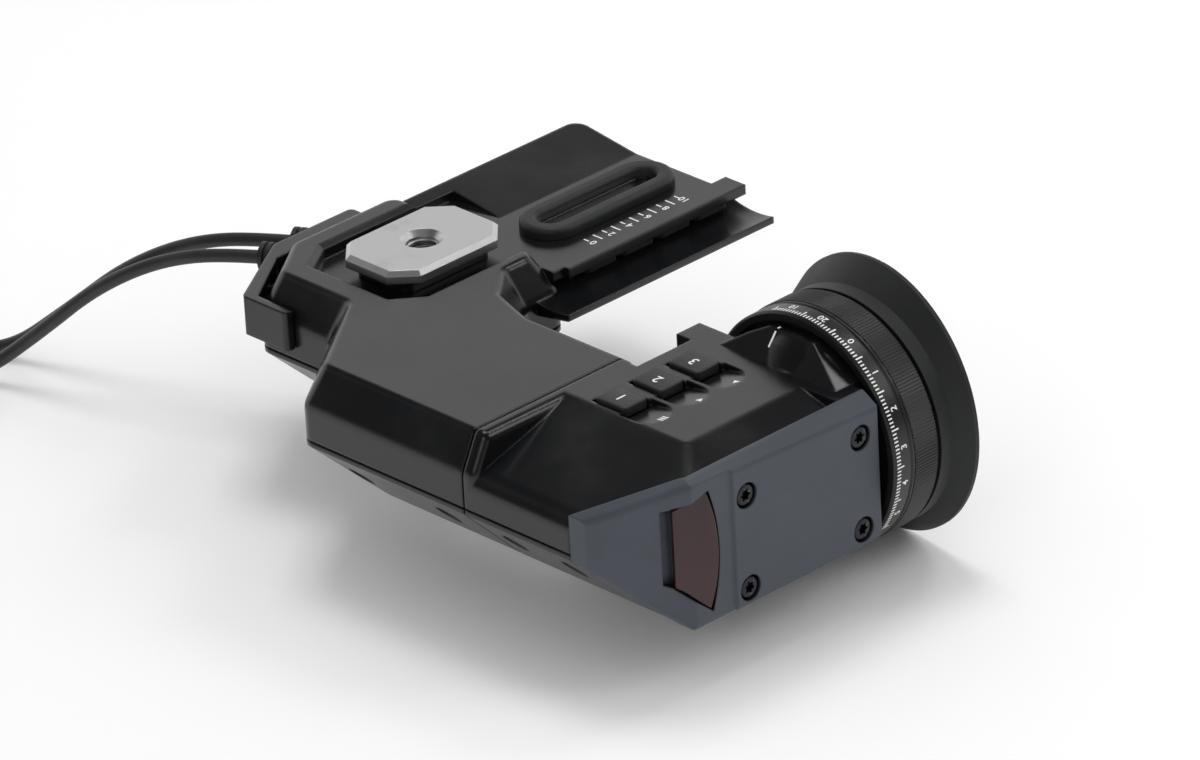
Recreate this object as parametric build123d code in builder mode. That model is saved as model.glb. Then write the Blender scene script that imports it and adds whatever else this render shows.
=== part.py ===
"""Camera viewfinder: an arm that carries a mounting saddle, and an eyepiece pod that tilts at the arm's end.

Millimetres. +X runs along the eyepiece's axis to the eyecup, -Y to the grey side cover, +Z up.
The origin is at the bottom centre of the body without its two leads; the eyecup's rim touches z = 0.
"""
from build123d import *
import math
import os

os.makedirs("parts", exist_ok=True)

# Overall sizes
overall_length = 148.6
arm_depth = 120.7
pod_depth = 61.3
eyecup_radius = 36.0
axis_drop = 20.0

# Case sections
arm_width = 60.3
case_split = 19.5
split_gap = 0.5
seam_gap = 0.7
shoulder_drop = 10.0
shoulder_inset = 5.1
belly_start = 21.0
belly_inset = 18.0
wall = 2.4
end_wall = 3.4
corner_round = 4.0
belly_corner_round = 1.5
top_round = 2.0
ridge_round = 6.0
belly_round = 1.5
thin_ceiling = 2.6
deep_ceiling = 6.6

# Saddle
plate_drop = 4.0
plate_underside = 8.0
saddle_front_y = arm_depth - 68.2
saddle_plate_end = 143.5
rail_drop = 14.0
wing_start_y = arm_depth - 35.7
wing_end_y = arm_depth - 14.2
skirt_start = 76.0
skirt_front_y = arm_depth - 79.5
slot_travel = 32.0
slot_width = 6.6
slot_first_x = 100.2
slot_y = arm_depth - 49.2
rim_band = 5.0
rim_height = 3.1
lug_length = 11.6
lug_pitch = 13.0
lug_count = 4

# Quick plate
quick_length = 38.4
quick_width = 27.0
quick_corner = 6.0
quick_thickness = 3.6
quick_x = 64.0
quick_y = arm_depth - 40.3
quick_hole_x = 11.0
quick_hole_y = 6.0
thread_radius = 4.0
thread_mouth = 1.5

# Pod
inner_side_y = -1.0
band_end_y = -4.2
band_round = 2.4
slope_round = 5.0
foot_round = 6.0
plateau_round = 8.0
pod_end = 80.5
slope_edge_x = 33.0
slope_foot = 9.9
cover_thickness = 4.3
cover_round = 2.0
cover_end = 82.3
pod_front_y = cover_thickness - pod_depth
plateau_front_y = pod_front_y + 12.5
pod_ceiling = 5.4
cover_corner_x = 17.7
cover_start_y = pod_front_y + 14.4
corner_start_y = pod_front_y + 21.7

# Eyepiece
axis_y = pod_front_y + 23.6
hood_radius = 27.0
hood_end = 84.0
hood_foot_x = 75.5
hood_ridge_x = 81.0
hood_top = 6.8
bulkhead_start = 70.0
bulkhead_end = 78.0
ring_start = 82.8
ring_length = 15.2
ring_radius = 31.3
skirt_radius = 28.8
skirt_gap = 0.4
tube_radius = 21.5
tube_wall = 2.0
tube_bore = tube_radius - tube_wall
light_opening = tube_bore - 4.0
tube_end = 106.5
barrel_wall = 2.1
barrel_bore = tube_bore - barrel_wall
run_clearance = 0.05
focus_travel_out = 1.26
focus_travel_in = 3.77
pin_radius = 1.2
seat_radius = tube_radius + 6.1
neck_radius = 31.4
neck_start = 98.8
neck_end = 103.0
rim_x = 110.0
eyecup_tilt = 6.0

# Tilt pivot
pivot_x = arm_width / 2
sleeve_radius = 8.0
sleeve_bore = 5.5
sleeve_flange = 11.0

# Keys
key_count = 3
key_pitch = 12.4
key_first_x = 38.7
key_y = -16.2
key_length = 8.2
key_width = 10.2
key_rise = 1.0
key_travel = 0.8
key_gap = 0.6
pocket_depth = 2.6
scoop_end_y = -31.5
scoop_width = 11.0

# Side cover screws
cover_screw_x = 39.0
cover_screw_z = 25.0
cover_screw_middle = (55.1, -21.8)

# Fastener and board sizes
screw_radius = 1.45
pilot_radius = 1.5
clear_radius = 1.8
head_radius = 2.8
board_thickness = 1.6

# Leads
cord_diameter = 3.6
relief_reach = 8.0
relief_radius = 3.4
relief_drop = 11.7
lead_angle = 27.8
lower_exit_x = 55.2
upper_exit_x = 66.3
clamp_top = 5.6
clamp_bottom = 16.2
coil_radius = 20.0

left_side = -overall_length / 2
seam_y = (eyecup_radius - axis_y - arm_depth) / 2
top_face = eyecup_radius + axis_drop


def place(x, y, z):
    """A point given from the arm's left side, the seam and the flat top."""
    return Vector(left_side + x, seam_y + y, top_face + z)


def level(height):
    """Level plane: local x from the left side, local y from the seam."""
    return Plane(place(0, 0, height))


def across(x):
    """Upright plane facing +X: local x is the depth from the seam, local y the height."""
    return Plane(place(x, 0, 0), x_dir=(0, 1, 0), z_dir=(1, 0, 0))


def along(y):
    """Upright plane facing -Y: local x from the left side, local y the height."""
    return Plane(place(0, y, 0), x_dir=(1, 0, 0), z_dir=(0, -1, 0))


def inset(points, distance):
    """Corners of an anticlockwise outline, moved inwards by distance."""
    moved = []
    for i, here in enumerate(points):
        before = points[i - 1]
        after = points[(i + 1) % len(points)]
        first = Vector(before[1] - here[1], here[0] - before[0], 0).normalized()
        second = Vector(here[1] - after[1], after[0] - here[0], 0).normalized()
        shift = (first + second) * (distance / (1 + first.dot(second)))
        moved.append((here[0] + shift.X, here[1] + shift.Y))
    return moved


def drawn(plane, points, depth, mode=Mode.ADD):
    """A straight-sided body on an outline drawn on a plane."""
    with BuildSketch(plane) as outline:
        Polygon(*points, align=None)
    extrude(outline.sketch, amount=depth, mode=mode)


def prism(points, low, high, mode=Mode.ADD):
    """An upright body on an outline between two heights."""
    drawn(level(low), points, high - low, mode)


def rounded(height, points, radius):
    """A level outline with rounded corners."""
    with BuildSketch(level(height)) as outline:
        Polygon(*points, align=None)
        fillet(outline.vertices(), radius)
    return outline.sketch


def rim(part, height, first_y):
    """The edges that run round a part at one height, past a distance from the seam."""
    return part.edges().filter_by(
        lambda e: abs(e.center().Z - top_face - height) < 0.02 and e.center().Y > seam_y + first_y)


def nearest(part, *points):
    """The edge of a part whose middle lies nearest to each point."""
    return [min(part.edges(), key=lambda e: (e.center() - place(*point)).length) for point in points]


def taper(low_points, low, high_points, high, mode=Mode.ADD):
    """A body between two level outlines with the same number of corners."""
    with BuildSketch(level(low)) as lower:
        Polygon(*low_points, align=None)
    with BuildSketch(level(high)) as upper:
        Polygon(*high_points, align=None)
    loft([lower.sketch, upper.sketch], ruled=True, mode=mode)


def rod(start, direction, radius, length, mode=Mode.ADD):
    """A cylinder from a point in a direction."""
    with Locations(Plane(start, z_dir=direction)):
        Cylinder(radius, length, align=(Align.CENTER, Align.CENTER, Align.MIN), mode=mode)


def block(low, high, mode=Mode.ADD):
    """A box between two opposite corners."""
    size = Vector(*high) - Vector(*low)
    with Locations(place(*((Vector(*low) + Vector(*high)) * 0.5))):
        Box(size.X, size.Y, size.Z, mode=mode)


def hexagon_hole(start, direction, across_flats, depth):
    """A hexagon socket sunk into a screw's head."""
    with BuildSketch(Plane(start, z_dir=direction)) as socket:
        RegularPolygon(across_flats / 2, 6, major_radius=False)
    extrude(socket.sketch, amount=depth, mode=Mode.SUBTRACT)


def screw(seat, direction, length, head=head_radius, head_height=1.7, shank=screw_radius):
    """A cap screw whose head rises from its seat against the direction it is driven in."""
    drive = Vector(*direction).normalized()
    rod(seat, drive, shank, length)
    rod(seat - drive * head_height, drive, head, head_height)
    hexagon_hole(seat - drive * head_height, drive, head, head_height * 0.55)


def save(piece, name):
    """Labels a finished piece and writes it."""
    piece.part.label = name
    export_step(piece.part, "parts/" + name + ".step")


# Arm outline at its widest, run on past the seam so that the seam end stays square
past_seam = -45.0
bend_y = saddle_front_y - 19.5
notch_y = saddle_front_y - 6.5
corner_y = saddle_front_y + 3.9
rear_wall_y = arm_depth - 6.7
arm_outline = [
    (0, past_seam),
    (arm_width, past_seam),
    (arm_width, bend_y),
    (arm_width + 4.2, notch_y),
    (arm_width + 11.7, saddle_front_y),
    (arm_width + 25.7, saddle_front_y),
    (arm_width + 25.7, rear_wall_y),
    (45.3, rear_wall_y),
    (27.9, rear_wall_y - 12.1),
    (27.9, corner_y + 20.0),
    (0, corner_y),
]
arm_end = Plane(place(0, seam_gap / 2, 0), z_dir=(0, 1, 0))
arm_inner_end = Plane(place(0, seam_gap / 2 + end_wall, 0), z_dir=(0, 1, 0))
split_low = -case_split - split_gap / 2
split_high = -case_split + split_gap / 2
belly_depth = belly_start + belly_inset
arm_bosses = [(9.5, 16), (arm_width - 9.8, 16), (9.5, corner_y - 9.4), (arm_width - 6.3, notch_y - 3.0),
              (38, rear_wall_y - 14.0), (79, rear_wall_y - 7.0), (79, saddle_front_y + 6.5)]
boss_radius = 3.3

# Hollow of the arm, shared by both halves of its case
with BuildPart() as arm_hollow:
    prism(inset(arm_outline, wall), -belly_start, -shoulder_drop)
    taper(inset(arm_outline, wall), -shoulder_drop, inset(arm_outline, 4.4), -deep_ceiling)
    taper(inset(arm_outline, belly_inset), -belly_depth + wall, inset(arm_outline, wall), -belly_start - 0.4)
    prism(inset(arm_outline, wall), -belly_start - 0.4, -belly_start)
    front_pocket = [(4.4, past_seam), (arm_width - 4.4, past_seam), (arm_width - 4.4, bend_y + 2.0),
                    (arm_width - 0.3, notch_y + 1.0), (arm_width - 0.3, corner_y - 0.4), (12, corner_y - 0.4),
                    (4.4, corner_y - 5.9)]
    taper(front_pocket, -deep_ceiling, inset(front_pocket, 2.1), -thin_ceiling)
    split(bisect_by=arm_inner_end, keep=Keep.TOP)

# Lead direction and where the two leads leave the rear face
lead = Vector(-math.sin(math.radians(lead_angle)), math.cos(math.radians(lead_angle)), 0)
exits = {
    "video": place(lower_exit_x, arm_depth, -relief_drop),
    "power": place(upper_exit_x, arm_depth, -relief_drop),
}

# Screws that hold the cable clamp cover, each as its seat on the cover and the way it is driven
clamp_screws = [((73.9, arm_depth), (0, -1)), ((37.6, arm_depth - 7.75), (0.530, -0.848))]
clamp_screw_z = -relief_drop + 0.8

# Arm top shell: one moulding with the plate recess, the slotted saddle, its rising wing and its front skirt
recess_bevel = 1.3
recess_front_y = saddle_front_y + 9.7
recess_rear_y = rear_wall_y - 12.0
recess = [(41, recess_front_y + 5.8), (48, recess_front_y), (95, recess_front_y), (95, recess_rear_y),
          (50.3, recess_rear_y), (41, recess_rear_y - 6.0)]
slot_middle = slot_first_x + slot_travel / 2
lug_back_y = saddle_front_y + 4.5
rear_rail_y = wing_end_y - 8.5
with BuildPart() as arm_top_shell:
    extrude(rounded(split_high, arm_outline, corner_round), amount=-shoulder_drop - split_high)
    loft([rounded(-shoulder_drop, arm_outline, corner_round),
          rounded(0, inset(arm_outline, shoulder_inset), corner_round)], ruled=True)
    split(bisect_by=arm_end, keep=Keep.TOP)
    fillet(rim(arm_top_shell, -shoulder_drop, 1), ridge_round)
    fillet(rim(arm_top_shell, 0, 1), top_round)
    # Saddle plate with its rising wing, lip and two rails
    drawn(across(82), [
        (saddle_front_y, -plate_drop), (saddle_front_y, -6.7), (lug_back_y, -6.7), (lug_back_y, -rail_drop),
        (lug_back_y + 5, -rail_drop), (lug_back_y + 5, -plate_underside), (rear_rail_y, -plate_underside),
        (rear_rail_y, -rail_drop), (rear_rail_y + 6, -rail_drop), (rear_rail_y + 6, -5.4), (wing_end_y, -3.4),
        (wing_end_y, -1.0), (wing_start_y, -plate_drop)], saddle_plate_end - 82)
    drawn(across(86), [(saddle_front_y - 1.6, -plate_drop), (saddle_front_y - 1.6, -6.7), (lug_back_y + 1, -6.7),
                       (lug_back_y + 1, -plate_drop)], overall_length - 86)
    # Front skirt, hollowed on top to a shallow arc
    with BuildSketch(across(skirt_start)) as skirt:
        with BuildLine():
            ThreePointArc((lug_back_y, -8.8), (lug_back_y - 8, -10.6), (skirt_front_y, -10.0))
            Polyline((skirt_front_y, -10.0), (skirt_front_y, -11.8), (lug_back_y - 3, -rail_drop),
                     (lug_back_y + 1, -rail_drop), (lug_back_y + 1, -8.8), (lug_back_y, -8.8))
        make_face()
    extrude(skirt.sketch, amount=overall_length - skirt_start)
    # Recess for the quick plate, open to the saddle
    prism(recess, -plate_drop, 2, mode=Mode.SUBTRACT)
    taper(recess, -recess_bevel, inset(recess, -recess_bevel - 0.1), 0.1, mode=Mode.SUBTRACT)
    add(arm_hollow.part, mode=Mode.SUBTRACT)
    # Clamp slot
    with BuildSketch(level(-plate_drop)) as slot:
        with Locations((slot_middle, slot_y)):
            SlotCenterToCenter(slot_travel, slot_width)
    extrude(slot.sketch, amount=-6, mode=Mode.SUBTRACT)
    # Far corners of the saddle
    wing_corner = arm_top_shell.edges().filter_by(Axis.Z).filter_by_position(
        Axis.X, left_side + saddle_plate_end - 0.2, left_side + saddle_plate_end + 0.2).sort_by(Axis.Y)[-1]
    fillet(wing_corner, 4.0)
    # Screw bosses hanging from the ceiling
    for boss_x, boss_y in arm_bosses:
        roof = -thin_ceiling - 0.5 if boss_y < saddle_front_y else -deep_ceiling
        rod(place(boss_x, boss_y, split_high), (0, 0, 1), boss_radius, roof - split_high + 1)
        rod(place(boss_x, boss_y, split_high), (0, 0, 1), pilot_radius, 9, mode=Mode.SUBTRACT)
    # Holes for the quick plate's four screws, the two leads and the pivot sleeve
    for hole_x in (-quick_hole_x, quick_hole_x):
        for hole_y in (-quick_hole_y, quick_hole_y):
            rod(place(quick_x + hole_x, quick_y + hole_y, -9), (0, 0, 1), clear_radius, 8, mode=Mode.SUBTRACT)
    for exit_point in exits.values():
        rod(exit_point - lead * 14, lead, 2.2, 12, mode=Mode.SUBTRACT)
    for (screw_x, screw_y), (drive_x, drive_y) in clamp_screws:
        rod(place(screw_x, screw_y, clamp_screw_z), (drive_x, drive_y, 0), pilot_radius, 12, mode=Mode.SUBTRACT)
    rod(place(pivot_x, -1, -case_split), (0, 1, 0), sleeve_radius, 8, mode=Mode.SUBTRACT)
    # Rebate for the bottom cover's tongue
    with BuildSketch(level(split_high)) as rebate:
        Polygon(*inset(arm_outline, 1.3), align=None)
        Polygon(*inset(arm_outline, wall + 0.4), align=None, mode=Mode.SUBTRACT)
    extrude(rebate.sketch, amount=1.6, mode=Mode.SUBTRACT)
save(arm_top_shell, "arm_top_shell")
print("arm_top_shell", len(arm_top_shell.part.solids()), arm_top_shell.part.volume / 1000)

# Arm bottom cover: bevelled belly closed under the top shell, with screw towers and posts for the board
board_middle_y = corner_y - 20.4
board_posts = [(30 + i * 9, board_middle_y + j * 10) for j in (-1, 1) for i in (-1, 1)]
board_height = -27.0
with BuildPart() as belly_body:
    extrude(rounded(-belly_start, arm_outline, corner_round), amount=belly_start + split_low)
    loft([rounded(-belly_depth, inset(arm_outline, belly_inset), belly_corner_round),
          rounded(-belly_start, arm_outline, corner_round)], ruled=True)
    split(bisect_by=arm_end, keep=Keep.TOP)
    fillet(rim(belly_body, -belly_depth, 1), belly_round)
with BuildPart() as towers:
    for boss_x, boss_y in arm_bosses:
        rod(place(boss_x, boss_y, -belly_depth), (0, 0, 1), boss_radius + 1.2, belly_depth + split_low)
    for post_x, post_y in board_posts:
        rod(place(post_x, post_y, -belly_depth), (0, 0, 1), 2.6, belly_depth + board_height)
    add(belly_body.part, mode=Mode.INTERSECT)
with BuildPart() as arm_bottom_cover:
    add(belly_body.part)
    add(arm_hollow.part, mode=Mode.SUBTRACT)
    add(towers.part)
    for post_x, post_y in board_posts:
        rod(place(post_x, post_y, board_height - 1), (0, 0, 1), 1.0, board_thickness + 1.8)
    for boss_x, boss_y in arm_bosses:
        rod(place(boss_x, boss_y, -belly_depth - 1), (0, 0, 1), clear_radius, belly_depth, mode=Mode.SUBTRACT)
        rod(place(boss_x, boss_y, -belly_depth - 1), (0, 0, 1), head_radius + 0.4, belly_depth - 23,
            mode=Mode.SUBTRACT)
    rod(place(pivot_x, -1, -case_split), (0, 1, 0), sleeve_radius, 8, mode=Mode.SUBTRACT)
    # Tongue that stands in the top shell's rebate
    with BuildSketch(level(split_low - 1)) as tongue:
        Polygon(*inset(arm_outline, 1.5), align=None)
        Polygon(*inset(arm_outline, wall), align=None, mode=Mode.SUBTRACT)
    extrude(tongue.sketch, amount=1 + split_gap + 1.3)
    split(bisect_by=arm_end, keep=Keep.TOP)
save(arm_bottom_cover, "arm_bottom_cover")
print("arm_bottom_cover", len(arm_bottom_cover.part.solids()), arm_bottom_cover.part.volume / 1000)

# Seven cap screws that close the arm from below
with BuildPart() as arm_cover_screws:
    for boss_x, boss_y in arm_bosses:
        screw(place(boss_x, boss_y, -24), (0, 0, 1), 12)
save(arm_cover_screws, "arm_cover_screws")

# Quick plate: milled octagon with a bevelled rim and a threaded hole, raised on a moulded neck
plate_corners = [
    (quick_length / 2, quick_width / 2 - quick_corner), (quick_length / 2 - quick_corner, quick_width / 2),
    (quick_corner - quick_length / 2, quick_width / 2), (-quick_length / 2, quick_width / 2 - quick_corner),
    (-quick_length / 2, quick_corner - quick_width / 2), (quick_corner - quick_length / 2, -quick_width / 2),
    (quick_length / 2 - quick_corner, -quick_width / 2), (quick_length / 2, quick_corner - quick_width / 2)]
plate_outline = [(quick_x + x, quick_y + y) for x, y in plate_corners]
with BuildPart() as quick_plate:
    prism(plate_outline, 0, quick_thickness)
    chamfer(quick_plate.faces().sort_by(Axis.Z)[-1].edges(), 1.2)
    chamfer(quick_plate.faces().sort_by(Axis.Z)[0].edges(), 0.4)
    rod(place(quick_x, quick_y, -1), (0, 0, 1), thread_radius, 8, mode=Mode.SUBTRACT)
    chamfer(quick_plate.edges().filter_by(GeomType.CIRCLE).sort_by(Axis.Z)[-1], thread_mouth)
    for hole_x in (-quick_hole_x, quick_hole_x):
        for hole_y in (-quick_hole_y, quick_hole_y):
            rod(place(quick_x + hole_x, quick_y + hole_y, -1), (0, 0, 1), pilot_radius, 3.2, mode=Mode.SUBTRACT)
save(quick_plate, "quick_plate")

with BuildPart() as quick_plate_neck:
    with BuildSketch(level(-plate_drop)) as neck:
        with Locations((quick_x, quick_y)):
            RectangleRounded(2 * quick_hole_x + 8, 2 * quick_hole_y + 7, 3)
            Circle(thread_radius, mode=Mode.SUBTRACT)
            with GridLocations(2 * quick_hole_x, 2 * quick_hole_y, 2, 2):
                Circle(clear_radius, mode=Mode.SUBTRACT)
    extrude(neck.sketch, amount=plate_drop)
save(quick_plate_neck, "quick_plate_neck")

with BuildPart() as quick_plate_screws:
    for hole_x in (-quick_hole_x, quick_hole_x):
        for hole_y in (-quick_hole_y, quick_hole_y):
            screw(place(quick_x + hole_x, quick_y + hole_y, -deep_ceiling), (0, 0, 1), deep_ceiling + 1.8)
save(quick_plate_screws, "quick_plate_screws")

# Rubber rim round the clamp slot
with BuildPart() as slot_rim:
    with BuildSketch(level(-plate_drop)) as rim:
        with Locations((slot_middle, slot_y)):
            SlotCenterToCenter(slot_travel, slot_width + 2 * rim_band)
            SlotCenterToCenter(slot_travel, slot_width + 0.6, mode=Mode.SUBTRACT)
    extrude(rim.sketch, amount=rim_height)
    fillet(slot_rim.faces().sort_by(Axis.Z)[-1].edges(), 1.5)
save(slot_rim, "slot_rim")

# Row of rubber lugs along the groove under the saddle's lip
with BuildPart() as grip_lugs:
    for i in range(lug_count):
        lug_x = 93.0 + lug_pitch * i
        block((lug_x, lug_back_y - 4.8, -8.75), (lug_x + lug_length, lug_back_y, -6.7))
    block((93.0, lug_back_y - 1, -8.0), (93.0 + lug_pitch * (lug_count - 1) + lug_length, lug_back_y, -6.7))
    lug_fronts = grip_lugs.faces().filter_by(Axis.Y).sort_by(Axis.Y)[:lug_count]
    fillet(lug_fronts.edges().filter_by(Axis.Z), 1.8)
save(grip_lugs, "grip_lugs")

# Cable clamp cover: a collar round the arm's rear corner that holds both strain reliefs
clamp_shape = [(25.2, arm_depth - 31.2), (27.6, arm_depth - 31.2), (27.6, rear_wall_y - 11.9),
               (45.2, rear_wall_y + 0.35), (76.8, rear_wall_y + 0.35), (76.8, arm_depth), (50.0, arm_depth),
               (25.2, arm_depth - 15.5)]
with BuildPart() as cable_clamp_cover:
    prism(clamp_shape, -clamp_bottom, -clamp_top)
    outer_uprights = cable_clamp_cover.edges().filter_by(Axis.Z).filter_by(
        lambda e: e.center().Y > seam_y + rear_wall_y + 0.6 or e.center().X < left_side + 26)
    fillet(outer_uprights, 1.5)
    for exit_point in exits.values():
        rod(exit_point - lead * 16, lead, relief_radius, 20, mode=Mode.SUBTRACT)
        rod(exit_point - lead * 1.8, lead, relief_radius + 0.8, 6, mode=Mode.SUBTRACT)
    for (screw_x, screw_y), (drive_x, drive_y) in clamp_screws:
        drive = Vector(drive_x, drive_y, 0)
        seat = place(screw_x, screw_y, clamp_screw_z)
        rod(seat - drive, drive, clear_radius, 12, mode=Mode.SUBTRACT)
        rod(seat - drive, drive, 2.5, 3.2, mode=Mode.SUBTRACT)
save(cable_clamp_cover, "cable_clamp_cover")
print("clamp", len(cable_clamp_cover.part.solids()))

with BuildPart() as cable_clamp_screws:
    for (screw_x, screw_y), (drive_x, drive_y) in clamp_screws:
        drive = Vector(drive_x, drive_y, 0)
        screw(place(screw_x, screw_y, clamp_screw_z) + drive * 2.2, drive, 6.6, head=2.2)
save(cable_clamp_screws, "cable_clamp_screws")

# Ribbed strain reliefs, each gripped in the clamp cover
for name, exit_point in exits.items():
    with BuildPart() as relief:
        rod(exit_point - lead * 5.2, lead, relief_radius - 0.05, 5.4)
        rod(exit_point, lead, 2.8, relief_reach)
        for i in range(4):
            rod(exit_point + lead * (0.7 + 1.9 * i), lead, 3.8, 1.1)
        rod(exit_point - lead * 8, lead, cord_diameter / 2 + 0.1, 20, mode=Mode.SUBTRACT)
    save(relief, name + "_relief")

# Leads: both hang to the ground, where each ends in one and a quarter loops and its plug
ground = cord_diameter / 2


def trail(name, aside, behind, height):
    """A point on a lead's way, given from its exit and above the ground."""
    return Vector(exits[name].X - aside, exits[name].Y + behind, height)


lead_bends = {
    "video": [exits["video"] + lead * 12, trail("video", 15.4, 29, 41.5), trail("video", 24.4, 47, 31),
              trail("video", 32.4, 62.5, 15.5), trail("video", 40.9, 77.5, ground), trail("video", 50.9, 93, ground)],
    "power": [exits["power"] + lead * 12, trail("power", 15, 29.5, 42), trail("power", 23, 48.5, 32),
              trail("power", 30, 65.5, 16.5), trail("power", 39, 82, ground), trail("power", 46, 100, ground),
              trail("power", 51.5, 118, ground), trail("power", 54, 136, ground)],
}
coil_lift = {"video": 5.4, "power": 4.2}
plug_steps = {
    "video": [(3.0, 7), (5.2, 3), (6.2, 7), (7.2, 11), (4.8, 2)],
    "power": [(3.2, 9), (5.0, 6), (6.0, 16), (5.2, 3), (4.3, 5)],
}


def bend_radii(points):
    """The largest round bends that leave a straight between one bend and the next."""
    radii = []
    for before, here, after in zip(points, points[1:], points[2:]):
        turn = math.radians((here - before).get_angle(after - here))
        shorter = min((here - before).length, (after - here).length)
        radii.append(0.45 * shorter / math.tan(turn / 2))
    return radii


for name, bends in lead_bends.items():
    points = [exits[name] - lead * 8] + bends
    heading = (points[-1] - points[-2]).normalized()
    points[-1] = points[-1] - heading * 4
    radii = bend_radii(points)
    with BuildPart() as cord:
        with BuildLine() as cord_line:
            FilletPolyline(*points, radius=radii)
        cord_path = cord_line.wire()
        with BuildSketch(Plane(points[0], z_dir=points[1] - points[0])):
            Circle(cord_diameter / 2)
        sweep(path=cord_path)
    save(cord, name + "_cord")
    section = math.pi * cord_diameter ** 2 / 4
    print(name, "cord", round(cord_path.length, 1), "least bend", round(min(radii), 1),
          "volume share", round(cord.part.volume / section / cord_path.length, 3))

    # One and a quarter loops: half a turn on the ground, half a turn climbing, a quarter on top of the first
    start = points[-1] + heading * 4
    left = Vector(-heading.Y, heading.X, 0)
    centre = start + left * coil_radius
    rise = Vector(0, 0, coil_lift[name])
    climb_radius = math.sqrt(coil_radius ** 2 + coil_lift[name] ** 2 / 4)
    quarters = [start, centre + heading * coil_radius, centre + left * coil_radius,
                centre - heading * climb_radius + rise / 2, start + rise, centre + heading * coil_radius + rise]
    with BuildPart() as coil:
        with BuildLine() as coil_line:
            piece = Line(points[-1], start)
            for here, after in zip(quarters, quarters[1:]):
                piece = TangentArc(here, after, tangent=piece % 1)
            Line(quarters[-1], quarters[-1] + (piece % 1) * 17)
        coil_path = coil_line.wire()
        with BuildSketch(Plane(points[-1], z_dir=heading)):
            Circle(cord_diameter / 2)
        sweep(path=coil_path)
    save(coil, name + "_coil")
    along_coil = [coil_path @ (i / 400) for i in range(401)]
    spacing = coil_path.length / 400
    apart = min((along_coil[i] - along_coil[j]).length for i in range(401) for j in range(i)
                if (i - j) * spacing > 4 * cord_diameter)
    print(name, "coil", round(coil_path.length, 1), "least gap", round(apart - cord_diameter, 2),
          "volume share", round(coil.part.volume / section / coil_path.length, 3))

    # Plug, turned in steps along the lead's end
    tail_end = coil_path @ 1
    tail = coil_path % 1
    with BuildPart() as plug:
        reach = 0
        for step_radius, step_length in plug_steps[name]:
            rod(tail_end + tail * reach, tail, step_radius, step_length)
            reach += step_length
        tip_radius = plug_steps[name][-1][0]
        rod(tail_end + tail * (reach - 6), tail, tip_radius - 0.8, 8, mode=Mode.SUBTRACT)
        pins = [(0, 0)] if name == "video" else [(-1.4, -1.4), (-1.4, 1.4), (1.4, -1.4), (1.4, 1.4)]
        for pin_x, pin_y in pins:
            pin_base = Plane(tail_end + tail * (reach - 7), z_dir=tail).from_local_coords((pin_x, pin_y, 0))
            rod(pin_base, tail, 0.55, 5.5)
    save(plug, name + "_plug")
    print(name, "plug", reach)

# Interface board on its four posts, with the leads' sockets
with BuildPart() as interface_board:
    block((14.6, board_middle_y - 14, board_height), (46, board_middle_y + 16.5, board_height + board_thickness))
    board_top = board_height + board_thickness
    block((24, board_middle_y + 6, board_top), (36, board_middle_y + 15, board_top + 6))
    block((24, board_middle_y - 12, board_top), (36, board_middle_y - 6, board_top + 4))
    block((25, board_middle_y - 3, board_top), (35, board_middle_y + 4, board_top + 1.4))
    for post_x, post_y in board_posts:
        rod(place(post_x, post_y, board_height - 1), (0, 0, 1), 1.1, 4, mode=Mode.SUBTRACT)
save(interface_board, "interface_board")

# Tilt pivot: a flanged sleeve through both end walls, held by a nut over a wave washer
pivot_centre = place(pivot_x, 0, -case_split)
pod_wall_y = -seam_gap / 2 - end_wall
with BuildPart() as pivot_sleeve:
    rod(pivot_centre + Vector(0, pod_wall_y - 4.6, 0), (0, 1, 0), sleeve_radius - run_clearance,
        4.6 - pod_wall_y + seam_gap / 2 + end_wall + 3)
    rod(pivot_centre + Vector(0, seam_gap / 2 + end_wall, 0), (0, 1, 0), sleeve_flange, 1.6)
    rod(pivot_centre + Vector(0, -20, 0), (0, 1, 0), sleeve_bore, 40, mode=Mode.SUBTRACT)
save(pivot_sleeve, "pivot_sleeve")

with BuildPart() as pivot_nut:
    with BuildSketch(Plane(pivot_centre + Vector(0, pod_wall_y - 0.9, 0), z_dir=(0, -1, 0))) as nut:
        RegularPolygon(10.5, 6, major_radius=False)
        Circle(sleeve_radius, mode=Mode.SUBTRACT)
    extrude(nut.sketch, amount=3.2)
save(pivot_nut, "pivot_nut")

with BuildPart() as friction_washer:
    rod(pivot_centre + Vector(0, -seam_gap / 2 + 0.04, 0), (0, 1, 0), 13.5, seam_gap - 0.08)
    rod(pivot_centre + Vector(0, -2, 0), (0, 1, 0), sleeve_radius + 0.3, 4, mode=Mode.SUBTRACT)
save(friction_washer, "friction_washer")

with BuildPart() as wave_washer:
    rod(pivot_centre + Vector(0, pod_wall_y - 0.85, 0), (0, 1, 0), 11.0, 0.8)
    rod(pivot_centre + Vector(0, -12, 0), (0, 1, 0), sleeve_radius + 0.3, 14, mode=Mode.SUBTRACT)
save(wave_washer, "wave_washer")

with BuildPart() as harness:
    with BuildLine() as harness_line:
        FilletPolyline(place(pivot_x - 0.15, 20, -22), place(pivot_x, 12, -case_split),
                       place(pivot_x, -14, -case_split), place(38, -30, -case_split),
                       place(40, pod_front_y + 10.5, -20), radius=5)
    harness_path = harness_line.wire()
    with BuildSketch(Plane(harness_path @ 0, z_dir=harness_path % 0)):
        Circle(1.6)
    sweep(path=harness_path)
save(harness, "harness")

# Eyepiece axis and a helper for turned pieces: points are (x from the left side, radius)
eye_centre = place(0, axis_y, -axis_drop)
eye_axis = Axis(eye_centre, (1, 0, 0))


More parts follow.
